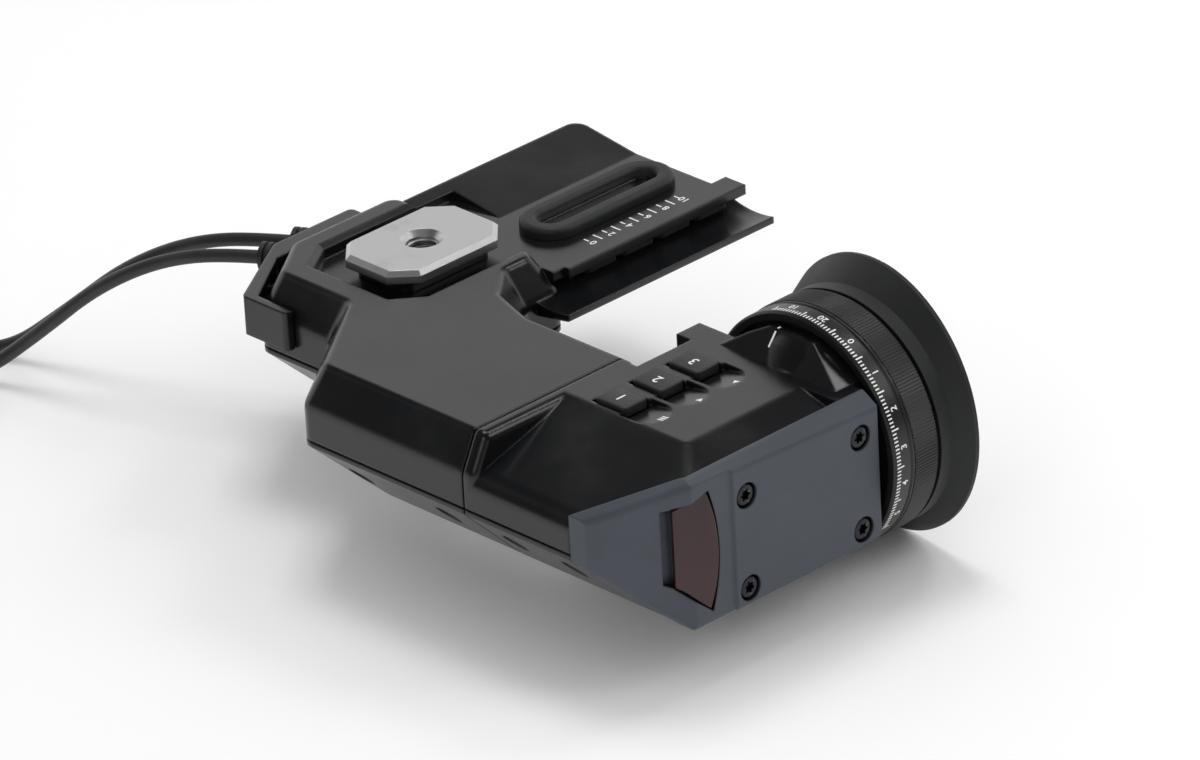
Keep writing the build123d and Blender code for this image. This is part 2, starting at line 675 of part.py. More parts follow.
def turned(profile, mode=Mode.ADD):
    """A ring or barrel turned about the eyepiece's axis."""
    with BuildSketch(Plane(eye_centre, x_dir=(1, 0, 0), z_dir=(0, -1, 0))) as half:
        Polygon(*profile, align=None)
    revolve(half.sketch, axis=eye_axis, mode=mode)


def ring(start, end, inner, outer, mode=Mode.ADD):
    """A plain ring about the eyepiece's axis."""
    turned([(start, inner), (end, inner), (end, outer), (start, outer)], mode)


# Pod's outside: a band like the arm's section, then a plateau with a long slope, and the flared hood
with BuildPart() as seam_band:
    prism(arm_outline, -belly_start, -shoulder_drop)
    taper(arm_outline, -shoulder_drop, inset(arm_outline, shoulder_inset), 0)
    taper(inset(arm_outline, belly_inset), -belly_depth, arm_outline, -belly_start)
    split(bisect_by=Plane(place(0, -seam_gap / 2, 0), z_dir=(0, -1, 0)), keep=Keep.TOP)
    split(bisect_by=Plane(place(0, band_end_y, 0), z_dir=(0, 1, 0)), keep=Keep.TOP)
    fillet(seam_band.edges().filter_by(Axis.Y).filter_by(lambda e: e.center().Z > top_face - 0.02), top_round)
    fillet(seam_band.edges().filter_by(Axis.Y).filter_by(
        lambda e: abs(e.center().Z - top_face + shoulder_drop) < 0.02), ridge_round)
    band_front = seam_band.faces().sort_by(Axis.Y)[0].edges().filter_by(
        lambda e: e.center().Z > top_face - shoulder_drop - 2)
    fillet(band_front, band_round)
with BuildPart() as hood_roof:
    drawn(across(70), [(-8.4, -3), (axis_y + 13.6, 4.2), (axis_y + 8.4, hood_top), (axis_y - 6.6, hood_top),
                       (axis_y - 19.4, 0), (axis_y - 20.4, -3)], hood_end - 70)
    drawn(along(-5), [(70, -3), (70, -1), (hood_foot_x - 1, -1), (hood_foot_x, 0), (hood_ridge_x, hood_top),
                      (hood_end, hood_top + 0.2), (hood_end, -3)], 60, mode=Mode.INTERSECT)
with BuildPart() as pod_body:
    drawn(along(inner_side_y), [(0, -slope_foot), (0, -belly_start), (belly_inset, -belly_depth),
                                (pod_end, -belly_depth), (pod_end, 0), (slope_edge_x, 0)],
          inner_side_y - pod_front_y)
    lengthwise = pod_body.edges().filter_by(Axis.Y)
    fillet(lengthwise.filter_by(lambda e: abs(e.center().X - left_side - slope_edge_x) < 0.1), slope_round)
    lengthwise = pod_body.edges().filter_by(Axis.Y)
    fillet(lengthwise.filter_by(lambda e: abs(e.center().X - left_side) < 0.1 and e.center().Z > top_face - 15),
           foot_round)
    turned([(60, 0), (62, 15.5), (70, 18.8), (hood_foot_x, 20.4), (78.6, 24.6), (80.4, 26.4), (81.6, hood_radius),
            (hood_end, hood_radius), (hood_end, 0)])
    add(hood_roof.part)
    turned([(ring_start - skirt_gap, skirt_radius - skirt_gap), (ring_start - skirt_gap, 50), (hood_end + 5, 50),
            (hood_end + 5, skirt_radius - skirt_gap)], mode=Mode.SUBTRACT)
    drawn(across(54), [(0.2, 0.2), (-6.1, 0.2), (-1.0, -shoulder_drop), (0.2, -shoulder_drop)], 18.5,
          mode=Mode.SUBTRACT)
    drawn(across(61), [(0.2, -belly_start), (-1.0, -belly_start), (-belly_inset - 2, -belly_depth - 1),
                       (0.2, -belly_depth - 1)], 10, mode=Mode.SUBTRACT)
    drawn(across(-1), [(plateau_front_y, 0), (pod_front_y - 0.5, -3.9), (pod_front_y - 0.5, 1), (plateau_front_y, 1)],
          73, mode=Mode.SUBTRACT)
    fillet(nearest(pod_body, (54.2, plateau_front_y, 0)), plateau_round)
    prism([(-1, corner_start_y), (-1, pod_front_y - 1.5), (21, pod_front_y - 1.5)], -45, 2, mode=Mode.SUBTRACT)
    block((60, -70, -60), (90, pod_front_y, 15), mode=Mode.SUBTRACT)
    add(seam_band.part)

# Pod's hollow, open at the front and reaching the lenses through the bulkhead
with BuildPart() as pod_hollow:
    drawn(along(-seam_gap / 2 - end_wall), [
        (wall, -slope_foot - 2.0), (wall, -belly_start - 1.0), (belly_inset + 1, -belly_depth + wall),
        (bulkhead_start, -belly_depth + wall), (bulkhead_start, -pod_ceiling), (24, -pod_ceiling)],
          0.75 - pod_front_y - seam_gap / 2 - end_wall)
    drawn(across(55), [(-3, -4), (-5.98, -pod_ceiling), (-3.75, -9.87), (-3, -9.87)], 20, mode=Mode.SUBTRACT)
    drawn(across(61), [(-3, -21), (-19.5, -37), (-19.5, -41), (-3, -41)], 20, mode=Mode.SUBTRACT)
    prism([(-1, corner_start_y + 3.7), (-1, pod_front_y - 3), (25, pod_front_y - 3)], -45, 2, mode=Mode.SUBTRACT)
    ring(bulkhead_start - 1, bulkhead_end + 0.5, 0, light_opening)
    ring(bulkhead_end, hood_end + 1, 0, tube_radius + 0.4)

cover_screw_points = [(cover_screw_middle[0] + i * cover_screw_x / 2, cover_screw_middle[1] + j * cover_screw_z / 2)
                      for i in (-1, 1) for j in (-1, 1)]
pod_bosses = [(8.5, -8.5), (8.5, corner_start_y + 6.3), (62, -7.4), (52, pod_front_y + 3.6)]
tube_screw_reach = tube_radius - 3.0
tube_screw_angles = [30, 150, 210, 330]


def drill_pod():
    """Holes that both halves of the pod share: the side cover's screws, the tube's screws and the pivot."""
    for screw_x, screw_z in cover_screw_points:
        rod(place(screw_x, pod_front_y - 1, screw_z), (0, 1, 0), pilot_radius, 7.5, mode=Mode.SUBTRACT)
    for angle in tube_screw_angles:
        turn = math.radians(angle)
        rod(eye_centre + Vector(bulkhead_start - 1, tube_screw_reach * math.cos(turn), tube_screw_reach * math.sin(turn)), (1, 0, 0),
            1.3, 10, mode=Mode.SUBTRACT)
    rod(place(pivot_x, -6, -case_split), (0, 1, 0), sleeve_radius, 8, mode=Mode.SUBTRACT)


# Service port's place: its mouth lies in the pod's angled wall
port_plane = Plane(place(8.4, pod_front_y + 11.8, -15.6), x_dir=(20.0, -21.1, 0), z_dir=(-21.1, -20.0, 0))

key_places = [key_first_x + i * key_pitch for i in range(key_count)]
key_board_top = -7.9
key_board_posts = [(34.6, -12.9), (34.6, -20.5), (57.3, -21.4), (66.9, -13.0)]

# Pod top shell, with three key pockets and the finger scoops that run up from them
with BuildPart() as pod_top_shell:
    add(pod_body.part)
    block((-5, -80, -70), (100, 5, split_high), mode=Mode.SUBTRACT)
    add(pod_hollow.part, mode=Mode.SUBTRACT)
    for boss_x, boss_y in pod_bosses:
        roof = -slope_foot - 0.5 if boss_x < 20 else -pod_ceiling + 0.5
        rod(place(boss_x, boss_y, split_high), (0, 0, 1), boss_radius, roof - split_high)
        rod(place(boss_x, boss_y, split_high), (0, 0, 1), pilot_radius, 8, mode=Mode.SUBTRACT)
    screw_x, screw_z = cover_screw_points[1]
    rod(place(screw_x, pod_front_y, screw_z), (0, 1, 0), boss_radius, 9)
    block((screw_x - 1.5, pod_front_y, screw_z), (screw_x + 1.5, pod_front_y + 9, -pod_ceiling + 0.5))
    for post_x, post_y in key_board_posts:
        rod(place(post_x, post_y, key_board_top - 1.4), (0, 0, 1), 0.9, 2)
        rod(place(post_x, post_y, key_board_top), (0, 0, 1), 1.6, 3)
    for key_x in key_places:
        half_x = key_length / 2 + key_gap
        half_y = key_width / 2 + key_gap
        block((key_x - half_x, key_y - half_y, -pocket_depth), (key_x + half_x, key_y + half_y, 1), mode=Mode.SUBTRACT)
        rod(place(key_x, key_y, -pod_ceiling - 1), (0, 0, 1), 2.0, 6, mode=Mode.SUBTRACT)
        with BuildSketch(Plane(place(key_x, scoop_end_y, 0), x_dir=(1, 0, 0), z_dir=(0, 0.164, 0.986))) as scoop:
            with Locations((0, scoop_width / 2)):
                Circle(scoop_width / 2)
            with Locations((0, scoop_width / 2 + 2.6)):
                Rectangle(scoop_width, 5.2)
        extrude(scoop.sketch, amount=3, mode=Mode.SUBTRACT)
    with Locations(port_plane.offset(-3)):
        Box(9.1, 3.3, 8, mode=Mode.SUBTRACT)
    drill_pod()
save(pod_top_shell, "pod_top_shell")
print("pod_top_shell", len(pod_top_shell.part.solids()), pod_top_shell.part.volume / 1000)

# Pod bottom shell, with screw towers and a tongue
with BuildPart() as pod_low_body:
    add(pod_body.part)
    block((-5, -80, split_low), (100, 5, 20), mode=Mode.SUBTRACT)
with BuildPart() as pod_towers:
    for boss_x, boss_y in pod_bosses:
        rod(place(boss_x, boss_y, -belly_depth), (0, 0, 1), boss_radius, belly_depth + split_low)
    screw_x, screw_z = cover_screw_points[0]
    rod(place(screw_x, pod_front_y, screw_z), (0, 1, 0), boss_radius, 9)
    block((screw_x - 1.5, pod_front_y, -belly_depth + 1), (screw_x + 1.5, pod_front_y + 9, screw_z))
    add(pod_low_body.part, mode=Mode.INTERSECT)
with BuildPart() as pod_bottom_shell:
    add(pod_low_body.part)
    add(pod_hollow.part, mode=Mode.SUBTRACT)
    add(pod_towers.part)
    for boss_x, boss_y in pod_bosses:
        rod(place(boss_x, boss_y, -belly_depth - 1), (0, 0, 1), clear_radius, belly_depth, mode=Mode.SUBTRACT)
        rod(place(boss_x, boss_y, -belly_depth - 1), (0, 0, 1), head_radius + 0.4, belly_depth - 23,
            mode=Mode.SUBTRACT)
    drill_pod()
save(pod_bottom_shell, "pod_bottom_shell")
print("pod_bottom_shell", len(pod_bottom_shell.part.solids()), pod_bottom_shell.part.volume / 1000)

with BuildPart() as pod_screws:
    for boss_x, boss_y in pod_bosses:
        screw(place(boss_x, boss_y, -24), (0, 0, 1), 11)
save(pod_screws, "pod_screws")

# Side cover: grey plate with a raised main face, an angled front corner and a seat for the tally window
window_plane = Plane(place(14.4, pod_front_y - 0.8, 0), x_dir=(12.0, -3.5, 0), z_dir=(-3.5, -12.0, 0))


def window_outline(grow):
    """The tally window's outline, widened all round by grow; its right edge bulges."""
    Polyline((9.2 + grow, -35.6 - grow), (-grow, -27.1 - grow), (-grow, -6.3 + grow), (9.2 + grow, -3.6 + grow))
    ThreePointArc((9.2 + grow, -3.6 + grow), (12.0 + grow, -19.6), (9.2 + grow, -35.6 - grow))


step_x = 30.8
step_depth = 0.6
facet_middle_y = (cover_start_y + step_depth - pod_depth) / 2
facet_slope = (pod_depth - step_depth + cover_start_y) / cover_corner_x
cover_outline = [
    (0, cover_start_y), (cover_corner_x, step_depth - pod_depth), (step_x, step_depth - pod_depth),
    (step_x + 0.5, -pod_depth), (cover_end - 1.6, -pod_depth), (cover_end, pod_front_y - 2.4), (cover_end, pod_front_y),
    (19.2, pod_front_y), (0, corner_start_y - 1.45)]
with BuildPart() as side_cover:
    prism(cover_outline, -belly_depth - 0.4, 0.6)
    with BuildSketch(along(-30)) as elevation:
        with BuildLine():
            Polyline((cover_end - 2.2, -belly_depth - 0.4), (belly_inset - 0.1, -belly_depth - 0.4), (0, -belly_start - 0.5),
                     (0, -8.7), (18.6, 0.6), (cover_end - 2.6, 0.6), (cover_end - 1.2, -3.0))
            ThreePointArc((cover_end - 1.2, -3.0), (cover_end - 0.1, -axis_drop), (cover_end - 2.2, -belly_depth - 0.4))
        make_face()
    extrude(elevation.sketch, amount=40, mode=Mode.INTERSECT)
    fillet(nearest(side_cover, (cover_corner_x / 2, facet_middle_y, -4.4), (0, cover_start_y, -15.1),
                   (cover_corner_x / 2, facet_middle_y, -30.4)), cover_round)
    # Bevel along the top edge, wider towards the eyepiece
    with BuildSketch(across(17)) as bevel_start:
        Polygon((-pod_depth - 0.3, -0.5), (-pod_depth - 0.3, 0.9), (3.1 - pod_depth, 0.9), align=None)
    with BuildSketch(across(86)) as bevel_end:
        Polygon((-pod_depth - 0.3, -4.3), (-pod_depth - 0.3, 0.9), (3.7 - pod_depth, 0.9), align=None)
    loft([bevel_start.sketch, bevel_end.sketch], ruled=True, mode=Mode.SUBTRACT)
    fillet(nearest(side_cover, (24.3, step_depth - pod_depth, -belly_depth - 0.4),
                   (31.0, step_depth / 2 - pod_depth, -belly_depth - 0.4),
                   (56.2, -pod_depth, -belly_depth - 0.4)), cover_round)
    fillet(nearest(side_cover, (cover_corner_x, step_depth - pod_depth, -axis_drop)), 1.0)
    fillet(nearest(side_cover, (56.7, -pod_depth, -2.4)), cover_round)
    # Seat of the window, and the deep gap left open beside it
    with BuildSketch(window_plane.offset(-1.7)) as window_seat:
        with BuildLine():
            window_outline(0.35)
        make_face()
    extrude(window_seat.sketch, amount=9, mode=Mode.SUBTRACT)
    with BuildSketch(window_plane.offset(-3.0)) as window_gap:
        Polygon((-2.6, -26.4), (-2.6, -6.6), (0.5, -5.9), (0.5, -27.6), align=None)
    extrude(window_gap.sketch, amount=9, mode=Mode.SUBTRACT)
    with BuildSketch(window_plane.offset(-9)) as light_hole:
        with BuildLine():
            window_outline(-1.6)
        make_face()
    extrude(light_hole.sketch, amount=9, mode=Mode.SUBTRACT)
    for screw_x, screw_z in cover_screw_points:
        rod(place(screw_x, -pod_depth - 1, screw_z), (0, 1, 0), clear_radius, 8, mode=Mode.SUBTRACT)
        rod(place(screw_x, -pod_depth - 1, screw_z), (0, 1, 0), 3.4, 3.2, mode=Mode.SUBTRACT)
save(side_cover, "side_cover")
print("side_cover", len(side_cover.part.solids()), side_cover.part.volume / 1000)

with BuildPart() as side_cover_screws:
    for screw_x, screw_z in cover_screw_points:
        screw(place(screw_x, -pod_depth + 2.2, screw_z), (0, 1, 0), 7.6, head=2.9, head_height=1.8)
save(side_cover_screws, "side_cover_screws")

# Tally window: clear red plate in the corner, lit from behind by the tally board
with BuildPart() as tally_window:
    with BuildSketch(window_plane.offset(-1.65)) as pane:
        with BuildLine():
            window_outline(0.0)
        make_face()
    extrude(pane.sketch, amount=1.5)
save(tally_window, "tally_window")

with BuildPart() as tally_board:
    block((21.6, pod_front_y + 2.6, -30), (31.6, pod_front_y + 4.0, -9))
    for lamp_z in (-26, -20, -14):
        block((24.5, pod_front_y + 1.6, lamp_z), (28.0, pod_front_y + 2.6, lamp_z + 2.2))
save(tally_board, "tally_board")

# Key board with three snap domes, hung on pins under the key pockets
with BuildPart() as key_board:
    block((32.8, -23.0, key_board_top - 1.2), (68.6, -11.0, key_board_top))
    for key_x in key_places:
        rod(place(key_x, key_y, key_board_top - 0.1), (0, 0, 1), 2.4, 0.25)
    for post_x, post_y in key_board_posts:
        rod(place(post_x, post_y, key_board_top - 2), (0, 0, 1), 1.0, 4, mode=Mode.SUBTRACT)
save(key_board, "key_board")

# Three keys, each with a dished face, a stem and a snap collar under the ceiling
for i, key_x in enumerate(key_places):
    with BuildPart() as key:
        with BuildSketch(level(-pocket_depth + key_travel + 0.15)) as key_face:
            with Locations((key_x, key_y)):
                RectangleRounded(key_length, key_width, 1.2)
        extrude(key_face.sketch, amount=pocket_depth - key_travel - 0.15 + key_rise)
        chamfer(key.faces().sort_by(Axis.Z)[-1].edges(), 0.35)
        rod(place(key_x, key_y, key_board_top + 0.25 + key_travel), (0, 0, 1), 1.6, 6)
        rod(place(key_x, key_y, -pod_ceiling - 0.9), (0, 0, 1), 2.5, 0.7)
    save(key, "key_" + str(i + 1))

# Display in its frame, facing the lenses through the bulkhead
with BuildPart() as display_frame:
    block((55.0, axis_y - 12.4, -axis_drop - 10.3), (bulkhead_start - 0.1, axis_y + 12.4, -axis_drop + 10.3))
    block((58.2, axis_y - 10.8, -axis_drop - 8.7), (bulkhead_start + 1, axis_y + 10.8, -axis_drop + 8.7),
          mode=Mode.SUBTRACT)
    block((54, axis_y - 8.6, -axis_drop - 6.6), (60, axis_y + 8.6, -axis_drop + 6.6), mode=Mode.SUBTRACT)
save(display_frame, "display_frame")
with BuildPart() as display_panel:
    block((52.2, axis_y - 11.5, -axis_drop - 8.6), (53.6, axis_y + 11.5, -axis_drop + 8.6))
    block((53.6, axis_y - 10.0, -axis_drop - 7.6), (54.9, axis_y + 10.0, -axis_drop + 7.6))
    block((50.2, axis_y - 4.0, -axis_drop - 8.5), (52.2, axis_y + 4.0, -axis_drop - 6.5))
save(display_panel, "display_panel")

# Main board behind the side cover
with BuildPart() as main_board:
    main_board_y = pod_front_y + 8.7
    block((26, main_board_y - board_thickness, -30.4), (66, main_board_y, -13.0))
    block((34, main_board_y, -27), (46, main_board_y + 1.2, -17))
    block((50, main_board_y, -24), (58, main_board_y + 1.1, -16))
    block((28, main_board_y, -16.6), (33, main_board_y + 2.0, -13.6))
save(main_board, "main_board")

# Service port, set in the pod's angled wall and covered by the side cover
with BuildPart() as service_port:
    with Locations(port_plane.offset(-3.6)):
        Box(9.0, 3.2, 7.0)
    with Locations(port_plane.offset(-2.6)):
        Box(7.4, 1.8, 7.0, mode=Mode.SUBTRACT)
    with Locations(port_plane.offset(-3.4)):
        Box(5.6, 0.6, 5.0)
save(service_port, "service_port")

# Eyepiece tube: carries the focus ring, guides the lens barrel with two straight slots and holds the eyecup
pin_x = 91.7
seat_end = 104.4
with BuildPart() as eyepiece_tube:
    ring(bulkhead_end, tube_end, tube_bore, tube_radius)
    ring(bulkhead_end, bulkhead_end + 3.2, light_opening, tube_radius)
    ring(seat_end + 0.05, seat_end + 1.05, tube_radius - 0.8, tube_radius + 1, mode=Mode.SUBTRACT)
    for side in (-1, 1):
        slot_start = place(pin_x - focus_travel_in - pin_radius - 0.2, axis_y, -axis_drop - pin_radius - 0.1)
        slot_end = place(pin_x + focus_travel_out + pin_radius + 0.2, axis_y + side * 30, -axis_drop + pin_radius + 0.1)
        size = slot_end - slot_start
        with Locations((slot_start + slot_end) / 2):
            Box(size.X, abs(size.Y), size.Z, mode=Mode.SUBTRACT)
    for angle in tube_screw_angles:
        turn = math.radians(angle)
        rod(eye_centre + Vector(bulkhead_end - 1, tube_screw_reach * math.cos(turn), tube_screw_reach * math.sin(turn)), (1, 0, 0),
            1.1, 4, mode=Mode.SUBTRACT)
save(eyepiece_tube, "eyepiece_tube")

with BuildPart() as tube_screws:
    for angle in tube_screw_angles:
        turn = math.radians(angle)
        screw(eye_centre + Vector(bulkhead_start, tube_screw_reach * math.cos(turn), tube_screw_reach * math.sin(turn)), (1, 0, 0),
              bulkhead_end - bulkhead_start + 2.8, head=2.0, head_height=1.2, shank=1.05)
save(tube_screws, "tube_screws")

# Focus ring: scale band, finger grooves and a helical track for each guide pin
ring_end = ring_start + ring_length
track_pitch = focus_travel_in * 360 / 120
with BuildPart() as focus_ring:
    turned([(hood_end + 0.8, tube_radius + run_clearance), (ring_end, tube_radius + run_clearance),
            (ring_end, ring_radius - 1.1), (ring_end - 0.5, ring_radius), (ring_start + 6.2, ring_radius),
            (ring_start + 5.9, ring_radius - 0.4), (ring_start + 5.5, ring_radius - 0.4),
            (ring_start + 5.2, ring_radius), (ring_start + 0.5, ring_radius - 0.1), (ring_start, ring_radius - 0.7),
            (ring_start, skirt_radius), (hood_end + 0.8, skirt_radius)])
    with BuildSketch(Plane(eye_centre + Vector(ring_start + 6.8, 0, 0), z_dir=(1, 0, 0))) as knurl:
        with PolarLocations(ring_radius + 0.25, 60):
            Circle(0.85)
    extrude(knurl.sketch, amount=ring_length, mode=Mode.SUBTRACT)
    for side in (0, 180):
        turn = math.radians(side + 124)
        outward = Vector(0, math.cos(turn), math.sin(turn))
        track_start = Plane(eye_centre + Vector(pin_x - focus_travel_in * 124 / 120, 0, 0), x_dir=outward,
                            z_dir=(1, 0, 0))
        track = track_start * Helix(track_pitch, track_pitch * 168 / 360, tube_radius + 0.8, lefthand=True, mode=Mode.PRIVATE)
        with BuildSketch(Plane(track @ 0, x_dir=outward, z_dir=track % 0)) as track_section:
            Rectangle(2.6, 2 * pin_radius + 0.3)
        sweep(track_section.sketch, path=track, is_frenet=True, mode=Mode.SUBTRACT)
save(focus_ring, "focus_ring")
print("focus_ring", len(focus_ring.part.solids()), focus_ring.part.volume / 1000)

# Sliding lens barrel with two guide pins
barrel_start = 85.2
with BuildPart() as lens_barrel:
    ring(barrel_start, barrel_start + 19, barrel_bore, tube_bore - run_clearance)
    ring(barrel_start, barrel_start + 1.2, barrel_bore - 1.2, barrel_bore)
    rod(place(pin_x, axis_y - 30, -axis_drop), (0, 1, 0), pin_radius, 60, mode=Mode.SUBTRACT)
save(lens_barrel, "lens_barrel")
with BuildPart() as guide_pins:
    for side in (-1, 1):
        rod(place(pin_x, axis_y + side * (tube_bore - 1.6), -axis_drop), (0, side, 0), pin_radius, tube_wall + 3.2)
save(guide_pins, "guide_pins")


def cap(x, bulge, radius, towards):
    """Three points of a spherical face from the axis to its edge; it bulges along the axis towards +1 or -1."""
    sphere = (radius ** 2 + bulge ** 2) / (2 * abs(bulge))
    half_depth = abs(bulge) - (sphere - math.sqrt(sphere ** 2 - radius ** 2 / 4))
    return (x + towards * bulge, 0), (x + towards * math.copysign(half_depth, bulge), radius / 2), (x, radius)


def lens(x_start, thickness, radius, front_bulge, rear_bulge):
    """A lens turned about the axis; a bulge is how far a face's middle stands out from its edge."""
    x_end = x_start + thickness
    with BuildSketch(Plane(eye_centre, x_dir=(1, 0, 0), z_dir=(0, -1, 0))) as half:
        with BuildLine():
            Line((x_start - front_bulge, 0), (x_end + rear_bulge, 0))
            if rear_bulge:
                ThreePointArc(*cap(x_end, rear_bulge, radius, 1))
            else:
                Line((x_end, 0), (x_end, radius))
            Line((x_end, radius), (x_start, radius))
            if front_bulge:
                ThreePointArc(*cap(x_start, front_bulge, radius, -1))
            else:
                Line((x_start, radius), (x_start, 0))
        make_face()
    revolve(half.sketch, axis=eye_axis)


lens_radius = barrel_bore - 0.05
with BuildPart() as lens_front:
    lens(barrel_start + 1.3, 2.4, lens_radius, -0.9, 2.0)
save(lens_front, "lens_front")
with BuildPart() as lens_spacer:
    ring(barrel_start + 4.3, barrel_start + 7.2, barrel_bore - 1.4, lens_radius)
save(lens_spacer, "lens_spacer")
with BuildPart() as lens_middle:
    lens(barrel_start + 7.7, 3.2, lens_radius, 1.6, 0)
save(lens_middle, "lens_middle")
with BuildPart() as lens_rear:
    lens(barrel_start + 11.0, 3.4, lens_radius, 0, 2.2)
save(lens_rear, "lens_rear")
with BuildPart() as lens_retainer:
    ring(barrel_start + 15.0, barrel_start + 17.0, barrel_bore - 1.8, lens_radius)
    with Locations(eye_centre + Vector(barrel_start + 17.0, 0, 0)):
        Box(2, 40, 1.6, mode=Mode.SUBTRACT)
save(lens_retainer, "lens_retainer")

# Eyecup seat: a ring that turns on the tube's end, kept on by a snap ring
with BuildPart() as eyecup_ring:
    turned([(neck_start + 0.2, tube_radius + run_clearance), (seat_end, tube_radius + run_clearance),
            (seat_end, seat_radius - 1.6), (seat_end - 0.9, seat_radius - 0.6), (seat_end - 0.9, seat_radius),
            (neck_start + 0.2, seat_radius)])
save(eyecup_ring, "eyecup_ring")
with BuildPart() as snap_ring:
    ring(seat_end + 0.1, seat_end + 1.0, tube_radius - 0.75, tube_radius + 1.7)
    block((seat_end - 1, axis_y - 2, -axis_drop - tube_radius - 4), (seat_end + 2, axis_y + 2, -axis_drop - 15),
          mode=Mode.SUBTRACT)
save(snap_ring, "snap_ring")

# Rubber eyecup: straight neck stretched over its seat, then a flare whose rim leans for the right or left eye
lean = math.radians(eyecup_tilt)
rim_plane = Plane(eye_centre + Vector(rim_x, 0, 0), z_dir=(math.cos(lean), -math.sin(lean), 0))
with BuildPart() as eyecup:
    ring(neck_start, neck_end + 0.6, seat_radius + 0.1, neck_radius)
    with BuildSketch(Plane(eye_centre + Vector(neck_end, 0, 0), z_dir=(1, 0, 0))) as neck_circle:
        Circle(neck_radius)
    with BuildSketch(rim_plane) as rim_circle:
        Circle(eyecup_radius)
    loft([neck_circle.sketch, rim_circle.sketch])
    extrude(rim_circle.sketch, amount=1.4)
    with BuildSketch(Plane(eye_centre + Vector(neck_end - 0.2, 0, 0), z_dir=(1, 0, 0))) as inner_circle:
        Circle(seat_radius + 0.1)
    with BuildSketch(rim_plane.offset(1.5)) as inner_rim:
        Circle(eyecup_radius - 1.7)
    loft([inner_circle.sketch, inner_rim.sketch], mode=Mode.SUBTRACT)
    ring(neck_start - 1, neck_end - 0.1, 0, seat_radius + 0.1, mode=Mode.SUBTRACT)
    fillet(eyecup.faces().sort_by(Axis.X)[-1].edges(), 0.5)
save(eyecup, "eyecup")
print("eyecup", len(eyecup.part.solids()), eyecup.part.volume / 1000)
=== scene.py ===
"""Dressed model of a camera viewfinder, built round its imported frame.

Metres; +X runs to the eyecup, +Z up.
"""
import math

import bmesh
import bpy
from mathutils import Matrix, Vector


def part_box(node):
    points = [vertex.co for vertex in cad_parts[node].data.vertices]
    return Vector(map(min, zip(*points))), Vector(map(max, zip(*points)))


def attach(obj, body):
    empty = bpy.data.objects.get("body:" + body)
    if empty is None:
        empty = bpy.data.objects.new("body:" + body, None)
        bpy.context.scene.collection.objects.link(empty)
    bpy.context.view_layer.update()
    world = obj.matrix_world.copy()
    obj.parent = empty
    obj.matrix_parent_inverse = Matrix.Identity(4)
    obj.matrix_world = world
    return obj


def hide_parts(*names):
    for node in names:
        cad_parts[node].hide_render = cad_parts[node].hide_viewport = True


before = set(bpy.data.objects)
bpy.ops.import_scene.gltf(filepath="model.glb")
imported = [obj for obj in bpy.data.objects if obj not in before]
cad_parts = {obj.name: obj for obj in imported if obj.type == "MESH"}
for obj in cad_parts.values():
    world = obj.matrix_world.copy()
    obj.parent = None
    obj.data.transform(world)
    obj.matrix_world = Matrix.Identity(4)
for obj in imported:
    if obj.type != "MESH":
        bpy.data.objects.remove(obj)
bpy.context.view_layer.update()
scene = bpy.context.scene
scene.view_settings.view_transform = "Standard"

MM = 0.001


def place(x, y, z):
    """A point in metres, given in millimetres from the arm's left side, the seam and the flat top."""
    return Vector(((x - 74.3) * MM, (y - 25.65) * MM, (z + 56.0) * MM))


# Camera: it stands in front and to the left, a little above, far off with a long lens. Its stand is
# given in metres from the place (0, 0, 0), along its own right, up and back.
turn, lift, roll = math.radians(-43.04), math.radians(26.97), math.radians(-3.12)
aside, above, away = 0.033705, 0.01374, 2.32425
behind = Vector((math.sin(turn) * math.cos(lift), -math.cos(turn) * math.cos(lift), math.sin(lift)))
rightward = Vector((math.cos(turn), math.sin(turn), 0))
upward = behind.cross(rightward)
right = rightward * math.cos(roll) + upward * math.sin(roll)
up = upward * math.cos(roll) - rightward * math.sin(roll)
stand = place(0, 0, 0) + right * aside + up * above + behind * away
camera_data = bpy.data.cameras.new("camera")
camera_data.sensor_width = 36
camera_data.lens = 290.2
camera_data.clip_end = 20
camera = bpy.data.objects.new("camera", camera_data)
scene.collection.objects.link(camera)
camera.matrix_world = Matrix((
    (right.x, up.x, behind.x, stand.x),
    (right.y, up.y, behind.y, stand.y),
    (right.z, up.z, behind.z, stand.z),
    (0, 0, 0, 1)))
scene.camera = camera


# Arm case: two halves of black nylon, moulded with a fine grain and closed by seven screws from
# below. Hands have wiped its gloss into soft patches, and its edges are rounded by the mould.
class Channel:
    def __init__(self, tree, socket):
        self.tree = tree
        self.socket = socket

    def maths(self, operation, first, second=0.0):
        return self.tree.node("ShaderNodeMath", {"operation": operation}, {0: first, 1: second})

    def __add__(self, other):
        return self.maths("ADD", self, other)

    def __radd__(self, other):
        return self.maths("ADD", other, self)

    def __sub__(self, other):
        return self.maths("SUBTRACT", self, other)

    def __rsub__(self, other):
        return self.maths("SUBTRACT", other, self)

    def __mul__(self, other):
        return self.maths("MULTIPLY", self, other)

    def __rmul__(self, other):
        return self.maths("MULTIPLY", other, self)

    def __truediv__(self, other):
        return self.maths("DIVIDE", self, other)

    def __rtruediv__(self, other):
        return self.maths("DIVIDE", other, self)

    def __mod__(self, other):
        return self.maths("MODULO", self, other)

    def __rmod__(self, other):
        return self.maths("MODULO", other, self)


